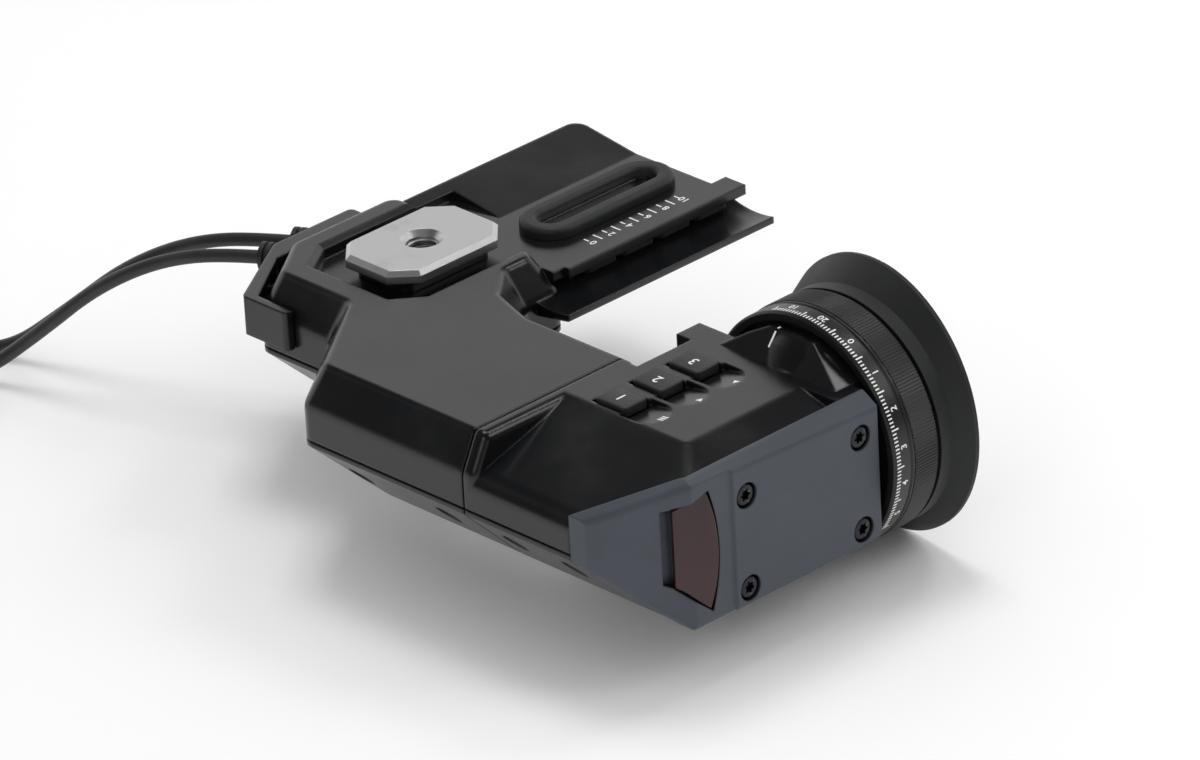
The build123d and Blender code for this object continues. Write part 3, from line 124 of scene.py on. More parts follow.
class Tree:
    def __init__(self, tree):
        self.tree = tree

    def feed(self, socket, value):
        if isinstance(value, Channel):
            self.tree.links.new(value.socket, socket)
        elif socket.type == "RGBA" and len(value) == 3:
            socket.default_value = (*value, 1)
        else:
            socket.default_value = value

    def node(self, kind, settings=None, values=None, output=0):
        """Adds a node, sets it, feeds its sockets with values or links, and gives one of its outputs."""
        made = self.tree.nodes.new(kind)
        for name, value in (settings or {}).items():
            setattr(made, name, value)
        for name, value in (values or {}).items():
            self.feed(made.inputs[name], value)
        return Channel(self, made.outputs[output])

    def vector(self, x, y, z):
        return self.node("ShaderNodeCombineXYZ", None, {0: x, 1: y, 2: z})

    def step(self, value, low, high):
        """A soft rise from 0 at low to 1 at high."""
        return self.node("ShaderNodeMapRange", {"interpolation_type": "SMOOTHSTEP"},
                         {"Value": value, "From Min": low, "From Max": high})


class Finish(Tree):
    def __init__(self, name):
        self.material = bpy.data.materials.new(name)
        self.material.use_nodes = True
        super().__init__(self.material.node_tree)
        self.tree.nodes.clear()
        out = self.tree.nodes.new("ShaderNodeOutputMaterial")
        self.body = self.tree.nodes.new("ShaderNodeBsdfPrincipled")
        self.tree.links.new(self.body.outputs[0], out.inputs["Surface"])

    def set(self, **values):
        for name, value in values.items():
            self.feed(self.body.inputs[name.replace("_", " ")], value)

    def place(self):
        return self.node("ShaderNodeTexCoord", output="Object")

    def axis(self, name):
        return self.node("ShaderNodeSeparateXYZ", None, {0: self.place()}, name)

    def noise(self, scale, detail=2.0, roughness=0.5):
        return self.node("ShaderNodeTexNoise", None, {
            "Vector": self.place(), "Scale": scale, "Detail": detail, "Roughness": roughness})

    def wipes(self, scale):
        """Soft streaky patches, as hands and cloths leave."""
        return self.step(self.noise(scale, 5, 0.6), 0.38, 0.68)

    def blend(self, factor, first, second):
        return self.node("ShaderNodeMix", {"data_type": "RGBA"}, {0: factor, 6: first, 7: second}, 2)

    def bump(self, height, distance, edge=0.0):
        """Grain in the surface, and a round edge of this radius where one is given."""
        values = {"Height": height, "Distance": distance}
        if edge:
            values["Normal"] = self.node("ShaderNodeBevel", {"samples": 6}, {"Radius": edge})
        return self.node("ShaderNodeBump", None, values)

    def crevice(self, reach):
        """Near 1 in gaps and corners narrower than the reach: a mask for painted shade."""
        openness = self.node("ShaderNodeAmbientOcclusion", {"samples": 6}, {"Distance": reach}, "AO")
        return self.step(openness, 0.75, 0.35)


def dress(finish, *names):
    """Gives CAD nodes one finish."""
    for name in names:
        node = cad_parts[name]
        node.data.materials.clear()
        node.data.materials.append(finish.material)


black_shell = Finish("black nylon")
shell_grain = black_shell.noise(2400, 2)
shell_wipes = black_shell.wipes(38)
black_shell.set(
    Base_Color=black_shell.blend(shell_wipes, (0.0050, 0.0054, 0.0062), (0.0075, 0.0080, 0.0090)),
    Roughness=0.20 + shell_wipes * 0.05 + shell_grain * 0.05,
    Normal=black_shell.bump(shell_grain, 0.000009, 0.9 * MM))
dress(black_shell, "arm_top_shell", "arm_bottom_cover")

# Case screws: black zinc-plated cap screws that close the arm and the pod from below, and hold the
# cable clamp. The plating has worn to grey in spots.
screw_black = Finish("black zinc")
screw_wear = screw_black.step(screw_black.noise(700, 4, 0.7), 0.56, 0.72)
screw_black.set(Base_Color=screw_black.blend(screw_wear, (0.03, 0.03, 0.033), (0.16, 0.16, 0.16)),
                Metallic=0.9, Roughness=0.26 + screw_wear * 0.2)
dress(screw_black, "arm_cover_screws", "pod_screws", "cable_clamp_screws")

# Quick plate: milled aluminium, bead-blasted and clear anodised, with a 3/8 inch thread. It stands
# on a moulded neck and is held by four steel screws from inside the arm.
quick_x, quick_y = 64.0, 80.4
thread_start, thread_height, thread_turns, thread_radius, thread_depth = -3.5, 5.4, 3.4, 4.0, 0.5
alloy = Finish("blasted aluminium")
alloy_grain = alloy.noise(2600, 3)
alloy_scuff = alloy.step(alloy.noise(90, 6, 0.65), 0.55, 0.75)
alloy.set(Base_Color=alloy.blend(alloy_scuff, (0.66, 0.66, 0.67), (0.55, 0.55, 0.56)),
          Metallic=1.0, Roughness=0.34 + alloy_grain * 0.12 + alloy_scuff * 0.05,
          Normal=alloy.bump(alloy_grain, 0.00002, 0.3 * MM))
dress(alloy, "quick_plate")
dress(black_shell, "quick_plate_neck")


class Growth(Tree):
    """A geometry node tree with named inputs, which ends in one plain mesh of one finish."""
    def __init__(self, name, **inputs):
        super().__init__(bpy.data.node_groups.new(name, "GeometryNodeTree"))
        self.tree.interface.new_socket("Geometry", in_out="INPUT",
                                       socket_type="NodeSocketGeometry")
        for title, kind in (inputs | {"Finish": "Material"}).items():
            self.tree.interface.new_socket(title, in_out="INPUT", socket_type="NodeSocket" + kind)
        self.tree.interface.new_socket("Geometry", in_out="OUTPUT",
                                       socket_type="NodeSocketGeometry")
        self.entry = self.tree.nodes.new("NodeGroupInput")
        self.index = self.node("GeometryNodeInputIndex")

    def given(self, title):
        return Channel(self, self.entry.outputs[title])

    def copies(self, count, position, turn, shape):
        """Copies of a shape at places worked out from their index."""
        points = self.node("GeometryNodeMeshLine", None, {"Count": count, "Offset": (0, 0, 0)})
        placed = self.node("GeometryNodeSetPosition", None, {
            "Geometry": points, "Position": position})
        return self.node("GeometryNodeInstanceOnPoints", None, {
            "Points": placed, "Instance": shape, "Rotation": turn})

    def close(self, geometry):
        real = self.node("GeometryNodeRealizeInstances", None, {0: geometry})
        done = self.node("GeometryNodeSetMaterial", None, {
            "Geometry": real, "Material": self.given("Finish")})
        out = self.tree.nodes.new("NodeGroupOutput")
        self.tree.links.new(done.socket, out.inputs[0])

    def grow(self, name, body, slot, finish, mesh=None, **values):
        """Runs the tree once and keeps its result as a plain piece on a body."""
        piece = bpy.data.objects.new(name, mesh or bpy.data.meshes.new(name))
        scene.collection.objects.link(piece)
        modifier = piece.modifiers.new("growth", "NODES")
        modifier.node_group = self.tree
        values["Finish"] = finish.material
        for item in self.tree.interface.items_tree:
            if item.in_out == "INPUT" and item.name in values:
                modifier[item.identifier] = values[item.name]
        bpy.context.view_layer.update()
        evaluated = piece.evaluated_get(bpy.context.evaluated_depsgraph_get())
        grown = bpy.data.meshes.new_from_object(evaluated)
        piece.modifiers.remove(modifier)
        piece.data = grown
        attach(piece, body)
        return piece


thread_tree = Growth("thread", Turns="Float", Radius="Float", Height="Float", Depth="Float",
                     Start="Vector")
spiral = thread_tree.node("GeometryNodeCurveSpiral", None, {
    "Resolution": 36, "Rotations": thread_tree.given("Turns"), "Height": thread_tree.given("Height"),
    "Start Radius": thread_tree.given("Radius"), "End Radius": thread_tree.given("Radius")})
thread_profile = thread_tree.node("GeometryNodeCurvePrimitiveCircle", None, {
    "Resolution": 4, "Radius": thread_tree.given("Depth")})
thread_ridge = thread_tree.node("GeometryNodeCurveToMesh", None, {
    "Curve": spiral, "Profile Curve": thread_profile, "Fill Caps": True})
thread_tree.close(thread_tree.node("GeometryNodeTransform", None, {
    "Geometry": thread_ridge, "Translation": thread_tree.given("Start")}))
thread_tree.grow("quick_plate_thread", "arm", "alloy", alloy, Turns=thread_turns,
                 Radius=thread_radius * MM, Height=thread_height * MM, Depth=thread_depth * MM,
                 Start=place(quick_x, quick_y, thread_start))

# Slot rim, grip lugs, pivot washer and wire harness: black rubber. The rim is bonded round the clamp
# slot, and the lugs sit under the saddle's lip.
rubber = Finish("black rubber")
rubber_grain = rubber.noise(1500, 3)
rubber_wipes = rubber.wipes(55)
rubber.set(Base_Color=rubber.blend(rubber_wipes, (0.0085, 0.0092, 0.0100), (0.0135, 0.0145, 0.0155)),
           Roughness=0.42 + rubber_wipes * 0.10 + rubber_grain * 0.08,
           Normal=rubber.bump(rubber_grain, 0.00003, 0.5 * MM))
dress(rubber, "slot_rim", "grip_lugs", "friction_washer", "harness")

# Slot scale: eleven white marks printed on the saddle along the clamp slot, every second one longer,
# and even numbers beside the short ones, their tops turned away from the eyecup.
white_ink = Finish("white ink")
ink_wear = white_ink.step(white_ink.noise(900, 4, 0.7), 0.60, 0.75)
white_ink.set(Base_Color=white_ink.blend(ink_wear, (0.80, 0.80, 0.80), (0.55, 0.55, 0.56)),
              Roughness=0.45 + ink_wear * 0.1)
ink_depth = 0.04 * MM
row_tree = Growth("marks in a row", Count="Int", First="Vector", Pitch="Vector", Size="Vector")
row_place = row_tree.node("ShaderNodeVectorMath", {"operation": "MULTIPLY_ADD"}, {
    0: row_tree.vector(row_tree.index, row_tree.index, row_tree.index), 1: row_tree.given("Pitch"),
    2: row_tree.given("First")})
row_mark = row_tree.node("GeometryNodeMeshCube", None, {"Size": row_tree.given("Size")})
row_tree.close(row_tree.copies(row_tree.given("Count"), row_place, (0, 0, 0), row_mark))
scale_x, scale_y, scale_pitch, saddle_top = 100.2, 60.0, 3.2, -4.0
mark_width, slot_figure, figure_aside, figure_along = 0.42, 2.1, 3.2, 0.3
for name, first_mark, marks, mark_length in (("even", 0, 6, 1.8), ("odd", 1, 5, 3.4)):
    first_x = scale_x + first_mark * scale_pitch
    row_tree.grow("slot_marks_" + name, "arm", "shell", white_ink, Count=marks,
                  Pitch=(2 * scale_pitch * MM, 0, 0),
                  First=place(first_x, scale_y - mark_length / 2, saddle_top),
                  Size=(mark_width * MM, mark_length * MM, 2 * ink_depth))
digit_share, boldness, weld_gap = 0.70, 0.012, 1e-7


def printed(name, body, words):
    """Numbers printed in white: each is its text, its height in mm, and the way from its own x, y and
    z to its place."""
    form = bmesh.new()
    for text, height, way in words:
        line = bpy.data.curves.new("figures", "FONT")
        line.body = text
        line.size = height * MM / digit_share
        line.extrude = ink_depth
        line.resolution_u = 3
        line.offset = height * MM * boldness
        line.align_x = "CENTER"
        line.align_y = "CENTER"
        figure = bpy.data.objects.new("figures", line)
        flat = bpy.data.meshes.new_from_object(figure)
        for vertex in flat.vertices:
            vertex.co = way(*vertex.co)
        form.from_mesh(flat)
        bpy.data.objects.remove(figure)
    mesh = bpy.data.meshes.new(name)
    bmesh.ops.remove_doubles(form, verts=form.verts, dist=weld_gap)
    form.to_mesh(mesh)
    mesh.materials.append(white_ink.material)
    piece = bpy.data.objects.new(name, mesh)
    scene.collection.objects.link(piece)
    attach(piece, body)


def level_way(x, y, z):
    """Text laid level about a place in mm, its top away from the eyecup."""
    at = place(x, y, z)
    return lambda right, up, out: at + Vector((-up, right, out))


printed("slot_numbers", "arm", [
    (str(2 * i), slot_figure, level_way(scale_x + figure_along + 2 * i * scale_pitch,
                                        scale_y - figure_aside, saddle_top)) for i in range(6)])

# Cable clamp: a moulded collar screwed round the arm's rear corner. It grips two rubber strain
# reliefs, one for each lead.
dress(black_shell, "cable_clamp_cover")
dress(rubber, "video_relief", "power_relief")

# Leads: rubber-jacketed, round and limp. Each hangs from its relief to the ground, lies in a small
# coil outside the view, and ends in its plug.
cord_diameter = 0.0036
jacket = Finish("cord jacket")
jacket_grain = jacket.noise(900)
jacket.set(Base_Color=jacket.blend(jacket.wipes(60), (0.018, 0.019, 0.021), (0.028, 0.029, 0.031)),
           Roughness=0.40 + jacket_grain * 0.12, Normal=jacket.bump(jacket_grain, 0.00005))

lead_turn = math.radians(27.8)
lead_way = Vector((-math.sin(lead_turn), math.cos(lead_turn), 0))
exits = {"video": place(55.2, 120.7, -11.7), "power": place(66.3, 120.7, -11.7)}
trails = {
    "video": [(15.4, 29, 41.5), (24.4, 47, 31), (32.4, 62.5, 15.5), (40.9, 77.5, 1.8), (50.9, 93, 1.8)],
    "power": [(15, 29.5, 42), (23, 48.5, 32), (30, 65.5, 16.5), (39, 82, 1.8), (46, 100, 1.8),
              (51.5, 118, 1.8), (54, 136, 1.8)],
}
coil_lift = {"video": 0.0054, "power": 0.0042}
inside_relief, beyond_relief = 0.008, 0.012
coil_radius, coil_steps = 0.020, 12
tail_start, tail_end = 0.006, 0.017
for name, trail in trails.items():
    bends = [Vector((exits[name].x - aside * MM, exits[name].y + back * MM, height * MM))
             for aside, back, height in trail]
    heading = (bends[-1] - bends[-2]).normalized()
    left = Vector((-heading.y, heading.x, 0))
    centre = bends[-1] + left * coil_radius
    step = math.tau / coil_steps
    points = [exits[name] - lead_way * inside_relief, exits[name] + lead_way * beyond_relief]
    points += bends[:-1]
    points.append(bends[-1] - heading * coil_radius * step / 2)
    for i in range(coil_steps + coil_steps // 4):
        angle = (i + 0.5) * step
        climb = min(1, max(0, angle / math.pi - 1))
        spread = coil_radius / math.cos(step / 2)
        points.append(centre - left * spread * math.cos(angle) + heading * spread * math.sin(angle)
                      + Vector((0, 0, coil_lift[name] * (3 * climb ** 2 - 2 * climb ** 3))))
    coil_end = centre + heading * coil_radius + Vector((0, 0, coil_lift[name]))
    points += [coil_end + left * tail_start, coil_end + left * tail_end]
    lead_line = bpy.data.curves.new(name + "_lead", "CURVE")
    lead_line.dimensions = "3D"
    lead_line.bevel_depth = cord_diameter / 2
    lead_line.bevel_resolution = 5
    lead_line.resolution_u = 10
    lead_line.use_fill_caps = True
    line = lead_line.splines.new("NURBS")
    line.points.add(len(points) - 1)
    for point, at in zip(line.points, points):
        point.co = (*at, 1)
    line.order_u = 3
    line.use_endpoint_u = True
    lead_line.materials.append(jacket.material)
    lead = bpy.data.objects.new(name + "_lead", lead_line)
    scene.collection.objects.link(lead)
    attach(lead, "arm")
    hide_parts(name + "_cord", name + "_coil")
    tuple(exits[name])
    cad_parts[name + "_plug"]
    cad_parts[name + "_relief"]

# Plugs: nickel-plated turned shells over steel pins, one coaxial and one with four contacts. Each is
# crimped on the end of its lead.
nickel = Finish("nickel plate")
nickel_wear = nickel.step(nickel.noise(400, 5, 0.65), 0.5, 0.75)
nickel.set(Base_Color=nickel.blend(nickel_wear, (0.60, 0.585, 0.55), (0.45, 0.44, 0.42)),
           Metallic=1.0, Roughness=0.22 + nickel_wear * 0.16)
dress(nickel, "video_plug", "power_plug")

# Pod case: two halves of the same black nylon as the arm, with the hood moulded on. Four screws
# close it from below.
dress(black_shell, "pod_top_shell", "pod_bottom_shell")

# Index mark: a short white line printed along the top of the hood, up to the focus ring. The ring's
# scale is read against it.
shell_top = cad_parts["pod_top_shell"]
above_pod = 0.1
ring_low, ring_high = (Vector(corner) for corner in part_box("focus_ring"))


def laid_on_shell(name, outline):
    """White ink on the pod's top: a closed outline of places, dropped onto the shell from above."""
    form = bmesh.new()
    drop = Vector((0, 0, -1))
    hits = [shell_top.ray_cast(Vector((point.x, point.y, above_pod)), drop)[1] for point in outline]
    under = [form.verts.new(hit - Vector((0, 0, ink_depth))) for hit in hits]
    over = [form.verts.new(hit + Vector((0, 0, ink_depth))) for hit in hits]
    form.faces.new(under[::-1])
    form.faces.new(over)
    for j in range(len(hits)):
        k = (j + 1) % len(hits)
        form.faces.new((under[j], under[k], over[k], over[j]))
    bmesh.ops.triangulate(form, faces=form.faces)
    bmesh.ops.recalc_face_normals(form, faces=form.faces)
    mesh = bpy.data.meshes.new(name)
    form.to_mesh(mesh)
    mesh.materials.append(white_ink.material)
    piece = bpy.data.objects.new(name, mesh)
    scene.collection.objects.link(piece)
    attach(piece, "pod")


index_length, index_width, index_pieces = 4.4 * MM, 0.55 * MM, 5
index_end = ring_low.x - 0.5 * MM
index_y = place(0, -27.6, 0).y
for j in range(index_pieces):
    near_x = index_end - index_length * (j + 1) / index_pieces
    far_x = index_end - index_length * j / index_pieces
    laid_on_shell("index_mark_" + str(j + 1), [
        Vector((x, index_y + side * index_width / 2, 0))
        for x, side in ((near_x, -1), (far_x, -1), (far_x, 1), (near_x, 1))])

# Keys: three black silicone-coated caps, each with its number printed on top. The case carries a sign
# at the end of each finger scoop: three bars, and two arrowheads.
key_rubber = Finish("key coating")
key_grain = key_rubber.noise(1900, 2)
key_touch = key_rubber.wipes(120)
key_rubber.set(Base_Color=key_rubber.blend(key_touch, (0.0125, 0.013, 0.0145), (0.019, 0.0195, 0.021)),
               Roughness=0.40 + key_touch * 0.08 + key_grain * 0.06,
               Normal=key_rubber.bump(key_grain, 0.00003))
key_first_x, key_pitch, key_y, key_top, key_figure, key_round = 38.7, 12.4, -16.2, 1.0, 3.0, 0.22
merge_gap, flat_angle, edge_angle = 1e-6, math.radians(0.5), math.radians(30)


def softened(node_name, finish, width, body):
    """Puts a copy of a node with rounded edges in its place."""
    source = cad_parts[node_name]
    form = bmesh.new()
    form.from_mesh(source.data)
    bmesh.ops.remove_doubles(form, verts=form.verts, dist=merge_gap)
    bmesh.ops.dissolve_limit(form, angle_limit=flat_angle, verts=form.verts, edges=form.edges)
    mesh = bpy.data.meshes.new(node_name + "_piece")
    form.to_mesh(mesh)
    mesh.materials.append(finish.material)
    piece = bpy.data.objects.new(node_name + "_piece", mesh)
    scene.collection.objects.link(piece)
    bevel = piece.modifiers.new("soft edges", "BEVEL")
    bevel.width = width
    bevel.segments = 3
    bevel.limit_method = "ANGLE"
    bevel.angle_limit = edge_angle
    bevel.harden_normals = True
    for polygon in mesh.polygons:
        polygon.use_smooth = True
    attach(piece, body)
    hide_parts(node_name)


for i, key_body in enumerate(("key_a", "key_b", "key_c")):
    key_x = key_first_x + i * key_pitch
    softened("key_" + str(i + 1), key_rubber, key_round * MM, key_body)
    printed("key_number_" + str(i + 1), key_body,
            [(str(i + 1), key_figure, level_way(key_x, key_y, key_top))])

bars_place, down_place, up_place = (
    place(x, y, 0) for x, y in ((38.8, -30.3), (51.6, -30.1), (63.9, -29.9)))
bar_pitch, bar_half_width, bar_half_length = 0.85 * MM, 0.23 * MM, 1.05 * MM
for j in range(3):
    bar = bars_place + Vector(((j - 1) * bar_pitch, 0, 0))
    laid_on_shell("menu_bar_" + str(j + 1), [
        bar + Vector((x * bar_half_width, y * bar_half_length, 0))
        for x, y in ((-1, -1), (1, -1), (1, 1), (-1, 1))])
arrow_corners = (0.9, 0), (-0.7, 1), (-0.7, -1)
for name, at, way in (("arrow_down", down_place, 1), ("arrow_up", up_place, -1)):
    laid_on_shell(name, [at + Vector((way * x * MM, way * y * MM, 0)) for x, y in arrow_corners])

# Side cover: slate-grey polycarbonate with a fine matt texture. Four six-lobe screws hold it, their
# heads sunk in counterbores. Its gaps and inner corners are darkened with painted shade.
cover_grey = Finish("slate cover")
cover_grain = cover_grey.noise(2100, 2)
cover_wipes = cover_grey.wipes(45)
cover_face = cover_grey.blend(cover_wipes, (0.040, 0.049, 0.064), (0.052, 0.062, 0.079))
# Painted shade: ambient occlusion turns the cover's colour near black in its gaps and inner corners.
cover_grey.set(Base_Color=cover_grey.blend(cover_grey.crevice(3 * MM), cover_face, (0.004, 0.004, 0.005)),
               Roughness=0.46 + cover_wipes * 0.08 + cover_grain * 0.06,
               Normal=cover_grey.bump(cover_grain, 0.00003, 0.8 * MM))
dress(cover_grey, "side_cover")

head_radius, head_height, lobe_steps, first_turn, next_turn = 2.9, 1.8, 48, 0.3, 0.9
shank_radius, shank_length, recess_depth, lobe_middle, lobe_swing = 1.45, 9.0, 1.15, 1.32, 0.27
form = bmesh.new()


def screw_ring(reach, depth):
    """A ring of points at a depth in mm, where reach gives its radius in mm at each angle."""
    angles = [math.tau * i / lobe_steps for i in range(lobe_steps)]
    return [form.verts.new((reach(angle) * MM * math.cos(angle), depth * MM,
                            reach(angle) * MM * math.sin(angle))) for angle in angles]


head_profile = [(shank_radius, shank_length), (shank_radius, head_height), (head_radius, head_height),
                (head_radius, 0.55), (2.80, 0.25), (2.58, 0.06), (2.30, 0.0)]
rings = [screw_ring(lambda angle: radius, depth) for radius, depth in head_profile]
rings += [screw_ring(lambda angle: share * (lobe_middle + lobe_swing * math.cos(6 * angle)), depth)
          for share, depth in ((1.06, 0.0), (1.0, 0.08), (0.97, recess_depth))]
for near, far in zip(rings, rings[1:]):
    for i in range(lobe_steps):
        form.faces.new((near[i], near[(i + 1) % lobe_steps], far[(i + 1) % lobe_steps], far[i]))
form.faces.new(rings[0])
form.faces.new(rings[-1])
bmesh.ops.recalc_face_normals(form, faces=form.faces)
lobe_mesh = bpy.data.meshes.new("six-lobe screw")
form.to_mesh(lobe_mesh)
for polygon in lobe_mesh.polygons:
    polygon.use_smooth = True
lobe_mesh.set_sharp_from_angle(angle=math.radians(35))
screw_tree = Growth("screws in a grid", Middle="Vector", Wide="Float", High="Float")
half_step = screw_tree.index % 2 - 0.5
high_step = screw_tree.node("ShaderNodeMath", {"operation": "FLOOR"}, {0: screw_tree.index / 2}) - 0.5
screw_shift = screw_tree.vector(
    half_step * screw_tree.given("Wide"), 0.0, high_step * screw_tree.given("High"))
screw_place = screw_tree.node("ShaderNodeVectorMath", {"operation": "ADD"}, {
    0: screw_tree.given("Middle"), 1: screw_shift})
screw_turn = screw_tree.vector(0.0, screw_tree.index * next_turn + first_turn, 0.0)
screw_tree.close(screw_tree.copies(4, screw_place, screw_turn, screw_tree.given("Geometry")))
screws_middle, screws_wide, screws_high = (55.1, -60.9, -21.8), 39.0, 25.0
cover_screws = screw_tree.grow(
    "side_cover_lobe_screws", "pod", "screw_black", screw_black, mesh=lobe_mesh,
    Middle=place(*screws_middle), Wide=screws_wide * MM, High=screws_high * MM)
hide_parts("side_cover_screws")

# Tally window: clear smoked-red acrylic set in the cover's corner, with polished edges. A painted
# highlight turns its colour pale pink where it is seen edge-on. A small board stands behind it.
smoked_red = Finish("smoked red acrylic")
# The red tint is darker towards the top of the window.
window_height_fade = smoked_red.step(smoked_red.axis("Z"), 0.018, 0.055)
# Painted highlight: the colour is lightened to pale pink where the window is seen edge-on.
window_facing = smoked_red.node("ShaderNodeLayerWeight", None, {"Blend": 0.35}, "Facing")
window_tint = smoked_red.blend(window_height_fade, (0.030, 0.0040, 0.0065), (0.020, 0.0030, 0.0050))
window_painted_highlight = smoked_red.step(window_facing, 0.55, 0.95)
window_round = 0.35
smoked_red.set(Base_Color=smoked_red.blend(window_painted_highlight, window_tint, (0.30, 0.12, 0.13)), Roughness=0.10)
softened("tally_window", smoked_red, window_round * MM, "pod")

# Focus ring: turned aluminium, hard anodised black. A white scale is printed on its front band, and
# fine straight ribs are cut in the grip behind it.
ring_black = Finish("hard anodised black")
ring_grain = ring_black.noise(2200, 2)
ring_wear = ring_black.step(ring_black.noise(260, 5, 0.7), 0.60, 0.78)
ring_black.set(Base_Color=ring_black.blend(ring_wear, (0.0075, 0.0078, 0.0085), (0.014, 0.0145, 0.015)),
               Roughness=0.32 + ring_wear * 0.10 + ring_grain * 0.06,
               Normal=ring_black.bump(ring_grain, 0.00002, 0.4 * MM))
dress(ring_black, "focus_ring")
ring_radius = (ring_high.z - ring_low.z) / 2
ring_middle = (ring_low + ring_high) / 2
round_tree = Growth("marks or ribs round a ring", Count="Int", Centre="Vector", Radius="Float",
                    First="Float", Step="Float", Size="Vector", Ribbed="Bool", Rib_Radius="Float",
                    Rib_Length="Float")
round_angle = round_tree.given("First") + round_tree.index * round_tree.given("Step")
round_sine = round_tree.node("ShaderNodeMath", {"operation": "SINE"}, {0: round_angle})
round_cosine = round_tree.node("ShaderNodeMath", {"operation": "COSINE"}, {0: round_angle})
round_place = round_tree.node("ShaderNodeVectorMath", {"operation": "ADD"}, {
    0: round_tree.given("Centre"),
    1: round_tree.vector(0.0, round_sine * round_tree.given("Radius"),
                         round_cosine * round_tree.given("Radius"))})
round_mark = round_tree.node("GeometryNodeMeshCube", None, {"Size": round_tree.given("Size")})
round_rod = round_tree.node("GeometryNodeMeshCylinder", None, {
    "Vertices": 6, "Radius": round_tree.given("Rib_Radius"), "Depth": round_tree.given("Rib_Length")})
round_rib = round_tree.node("GeometryNodeTransform", None, {
    "Geometry": round_rod, "Rotation": (0, math.pi / 2, 0)})
round_shape = round_tree.node("GeometryNodeSwitch", {"input_type": "GEOMETRY"}, {
    "Switch": round_tree.given("Ribbed"), "False": round_mark, "True": round_rib})
round_tree.close(round_tree.copies(round_tree.given("Count"), round_place,
                                   round_tree.vector(0.0 - round_angle, 0.0, 0.0), round_shape))


def on_ring(from_front):
    """The middle of the ring's circle at a distance in mm behind its front edge."""
    return Vector((ring_low.x + from_front * MM, ring_middle.y, ring_middle.z))


scale_start, number_middle, zero_angle, unit_angle = 0.7, 3.6, -27.0, 18.1
mark_angle, first_long, last_mark, marks_per_unit = unit_angle / 10, -25, 55, 10
long_mark, short_mark, ring_mark_width = 2.3, 1.25, 0.36
mark_sets = [("focus_mark_long", first_long, long_mark)]
mark_sets += [("focus_mark_" + str(j), first_long + 1 + j, short_mark) for j in range(marks_per_unit - 1)]
for name, first_mark, mark_length in mark_sets:
    round_tree.grow(name, "focus", "ring_black", white_ink,
                    Count=(last_mark - first_mark) // marks_per_unit + 1,
                    Centre=on_ring(scale_start + mark_length / 2), Radius=ring_radius,
                    First=math.radians(zero_angle - mark_angle * first_mark),
                    Step=math.radians(-mark_angle * marks_per_unit),
                    Size=(mark_length * MM, ring_mark_width * MM, 2 * ink_depth))
grip_start, grip_end, grip_ribs, rib_radius, rib_sink = 6.9, 14.8, 230, 0.50, 0.24
round_tree.grow("focus_grip", "focus", "ring_black", ring_black, Count=grip_ribs,
                Centre=on_ring((grip_start + grip_end) / 2), Radius=ring_radius - rib_sink * MM,
                First=0.0, Step=math.tau / grip_ribs, Ribbed=True, Rib_Radius=rib_radius * MM,
                Rib_Length=(grip_end - grip_start) * MM)


def ring_way(angle):
    """Text that follows the focus ring, its top away from the eyecup."""
    centre = on_ring(number_middle)

    def way(right, up, out):
        bend = math.radians(angle) + right / ring_radius
        reach = ring_radius + out
        return centre + Vector((-up, reach * math.sin(bend), reach * math.cos(bend)))
    return way


focus_figure = 1.9
printed("focus_numbers", "focus", [
    (text, focus_figure, ring_way(zero_angle - unit_angle * k))
    for k, text in enumerate(("10", "20", "0", "1", "2", "3", "4", "5"), -2)])

# Eyecup: soft black rubber with a satin bloom, stretched over a nylon seat. The seat turns on the
# eyepiece tube.
cup_rubber = Finish("eyecup rubber")
cup_grain = cup_rubber.noise(1300, 3)
cup_bloom = cup_rubber.wipes(26)
cup_rubber.set(Base_Color=cup_rubber.blend(cup_bloom, (0.0070, 0.0078, 0.0085), (0.0115, 0.0128, 0.0138)),
               Roughness=0.50 + cup_bloom * 0.10 + cup_grain * 0.08,
               Normal=cup_rubber.bump(cup_grain, 0.00004))
dress(cup_rubber, "eyecup")
dress(black_shell, "eyecup_ring")

# Eyepiece: an anodised tube screwed to the pod's bulkhead, and inside it a sliding barrel with three
# coated lenses, a spacer and a threaded retainer. Steel pins, screws and a snap ring hold them.
anodised = Finish("black anodised tube")
tube_grain = anodised.noise(1700, 2)
anodised.set(Base_Color=(0.012, 0.012, 0.013), Metallic=0.5, Roughness=0.42 + tube_grain * 0.12,
             Normal=anodised.bump(tube_grain, 0.00001))
dress(anodised, "eyepiece_tube", "lens_barrel", "lens_spacer", "lens_retainer")
steel = Finish("bright steel")
steel_wear = steel.wipes(300)
steel.set(Base_Color=(0.52, 0.52, 0.53), Metallic=1.0, Roughness=0.24 + steel_wear * 0.14)
dress(steel, "quick_plate_screws", "wave_washer", "service_port", "tube_screws", "snap_ring",
      "guide_pins")
lens_glass = Finish("coated lens")
lens_coat = lens_glass.noise(40, 1)
lens_glass.set(Base_Color=(0.93, 0.95, 0.96), Roughness=0.02 + lens_coat * 0.01,
               Transmission_Weight=1.0, IOR=1.6)
dress(lens_glass, "lens_front", "lens_middle", "lens_rear")

# Display: a dark glass panel in a black anodised frame. It faces the lenses through an opening in
# the bulkhead.
dress(anodised, "display_frame")
display = Finish("display glass")
display_smear = display.wipes(200)
display.set(Base_Color=(0.008, 0.009, 0.011), Roughness=0.08 + display_smear * 0.08)
dress(display, "display_panel")

# Tilt pivot: a flanged anodised sleeve and a brass nut, on which the pod tilts. The harness runs
# through the sleeve.
dress(anodised, "pivot_sleeve")
brass = Finish("turned brass")
brass_dull = brass.wipes(180)
brass.set(Base_Color=brass.blend(brass_dull, (0.60, 0.43, 0.17), (0.42, 0.30, 0.13)),
          Metallic=1.0, Roughness=0.28 + brass_dull * 0.18)
dress(brass, "pivot_nut")

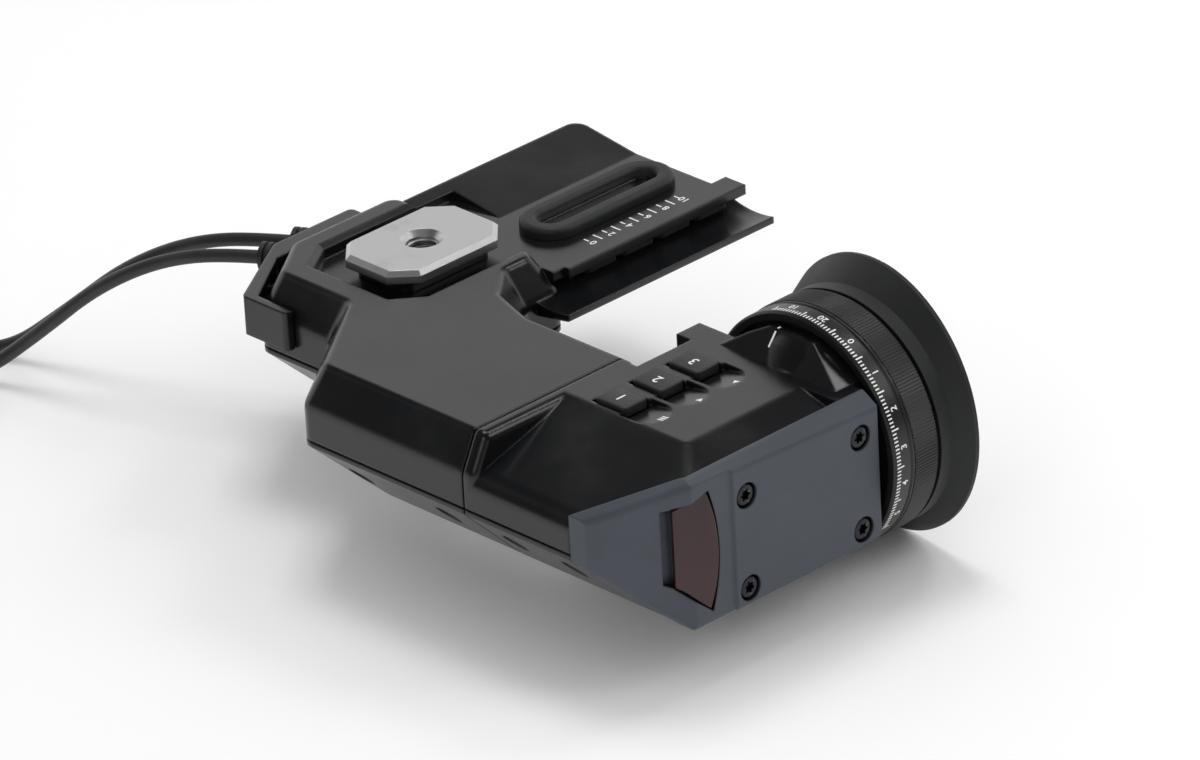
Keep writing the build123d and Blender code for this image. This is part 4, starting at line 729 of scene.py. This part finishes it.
# Boards: green glass-epoxy laminate under solder mask. They are held inside the two cases by posts
# and pins.
board = Finish("solder mask")
board_weave = board.noise(1200, 2)
board.set(Base_Color=board.blend(board_weave, (0.008, 0.060, 0.026), (0.014, 0.085, 0.036)),
          Roughness=0.36 + board_weave * 0.14)
dress(board, "interface_board", "tally_board", "key_board", "main_board")

# Studio: a white paper floor, a soft box overhead and three weaker ones from the sides. Glossy pieces
# see a white backdrop low behind the object, and a dark room above and beside it.
floor_reach = 3
floor_mesh = bpy.data.meshes.new("floor")
floor_mesh.from_pydata([(floor_reach * x, floor_reach * y, 0) for x, y in (
    (-1, -1), (1, -1), (1, 1), (-1, 1))], [], [(0, 1, 2, 3)])
floor = bpy.data.objects.new("floor", floor_mesh)
scene.collection.objects.link(floor)
paper = Finish("white paper")
paper_grain = paper.noise(60, 3)
paper.set(Base_Color=paper.blend(paper_grain, (0.955, 0.955, 0.955), (0.965, 0.965, 0.965)),
          Roughness=0.8)
floor_mesh.materials.append(paper.material)
lamp_aim = Vector((0, 0, 0.03))


def soft_box(name, direction, distance, width, power):
    """A square soft box aimed at the object. Its distance and width are in metres, its power in watts."""
    data = bpy.data.lights.new(name, "AREA")
    data.size = width
    data.energy = power
    lamp = bpy.data.objects.new(name, data)
    scene.collection.objects.link(lamp)
    way = Vector(direction).normalized()
    lamp.location = lamp_aim + way * distance
    lamp.rotation_euler = way.to_track_quat("Z", "Y").to_euler()


soft_box("overhead", (0.16, 0.18, 0.97), 1.1, 0.42, 3.4)
soft_box("left", (-1, -0.5, 0.5), 1.2, 0.4, 1.0)
soft_box("right", (0.8, -1, 0.9), 1.3, 0.5, 2.2)
soft_box("edge", (0.608, -0.12, 0.785), 1.2, 0.24, 1.1)

world = bpy.data.worlds.new("studio")
scene.world = world
world.cycles.sampling_method = "NONE"
world.use_nodes = True
room = Tree(world.node_tree)
background = world.node_tree.nodes["Background"]
direction = room.node("ShaderNodeTexCoord", output="Generated")
east, north, height = (room.node("ShaderNodeSeparateXYZ", None, {0: direction}, axis) for axis in "XYZ")
backdrop_east, backdrop_north, dark_room = 0.68, 0.73, 0.05
toward = east * backdrop_east + north * backdrop_north
backdrop = room.step(height, 0.60, 0.50) * room.step(toward, 0.10, 0.36)
reflected = dark_room + backdrop * (1 - dark_room)
glossy, camera_ray, clear_ray = (room.node("ShaderNodeLightPath", output=title) for title in (
    "Is Glossy Ray", "Is Camera Ray", "Is Transmission Ray"))
plain_light = 0.68
level = glossy * reflected + (1.0 - glossy) * plain_light
seen = room.node("ShaderNodeMath", {"operation": "MAXIMUM"}, {0: camera_ray, 1: clear_ray})
room.feed(background.inputs["Color"], (1, 1, 1))
room.feed(background.inputs["Strength"], seen + (1.0 - seen) * level)
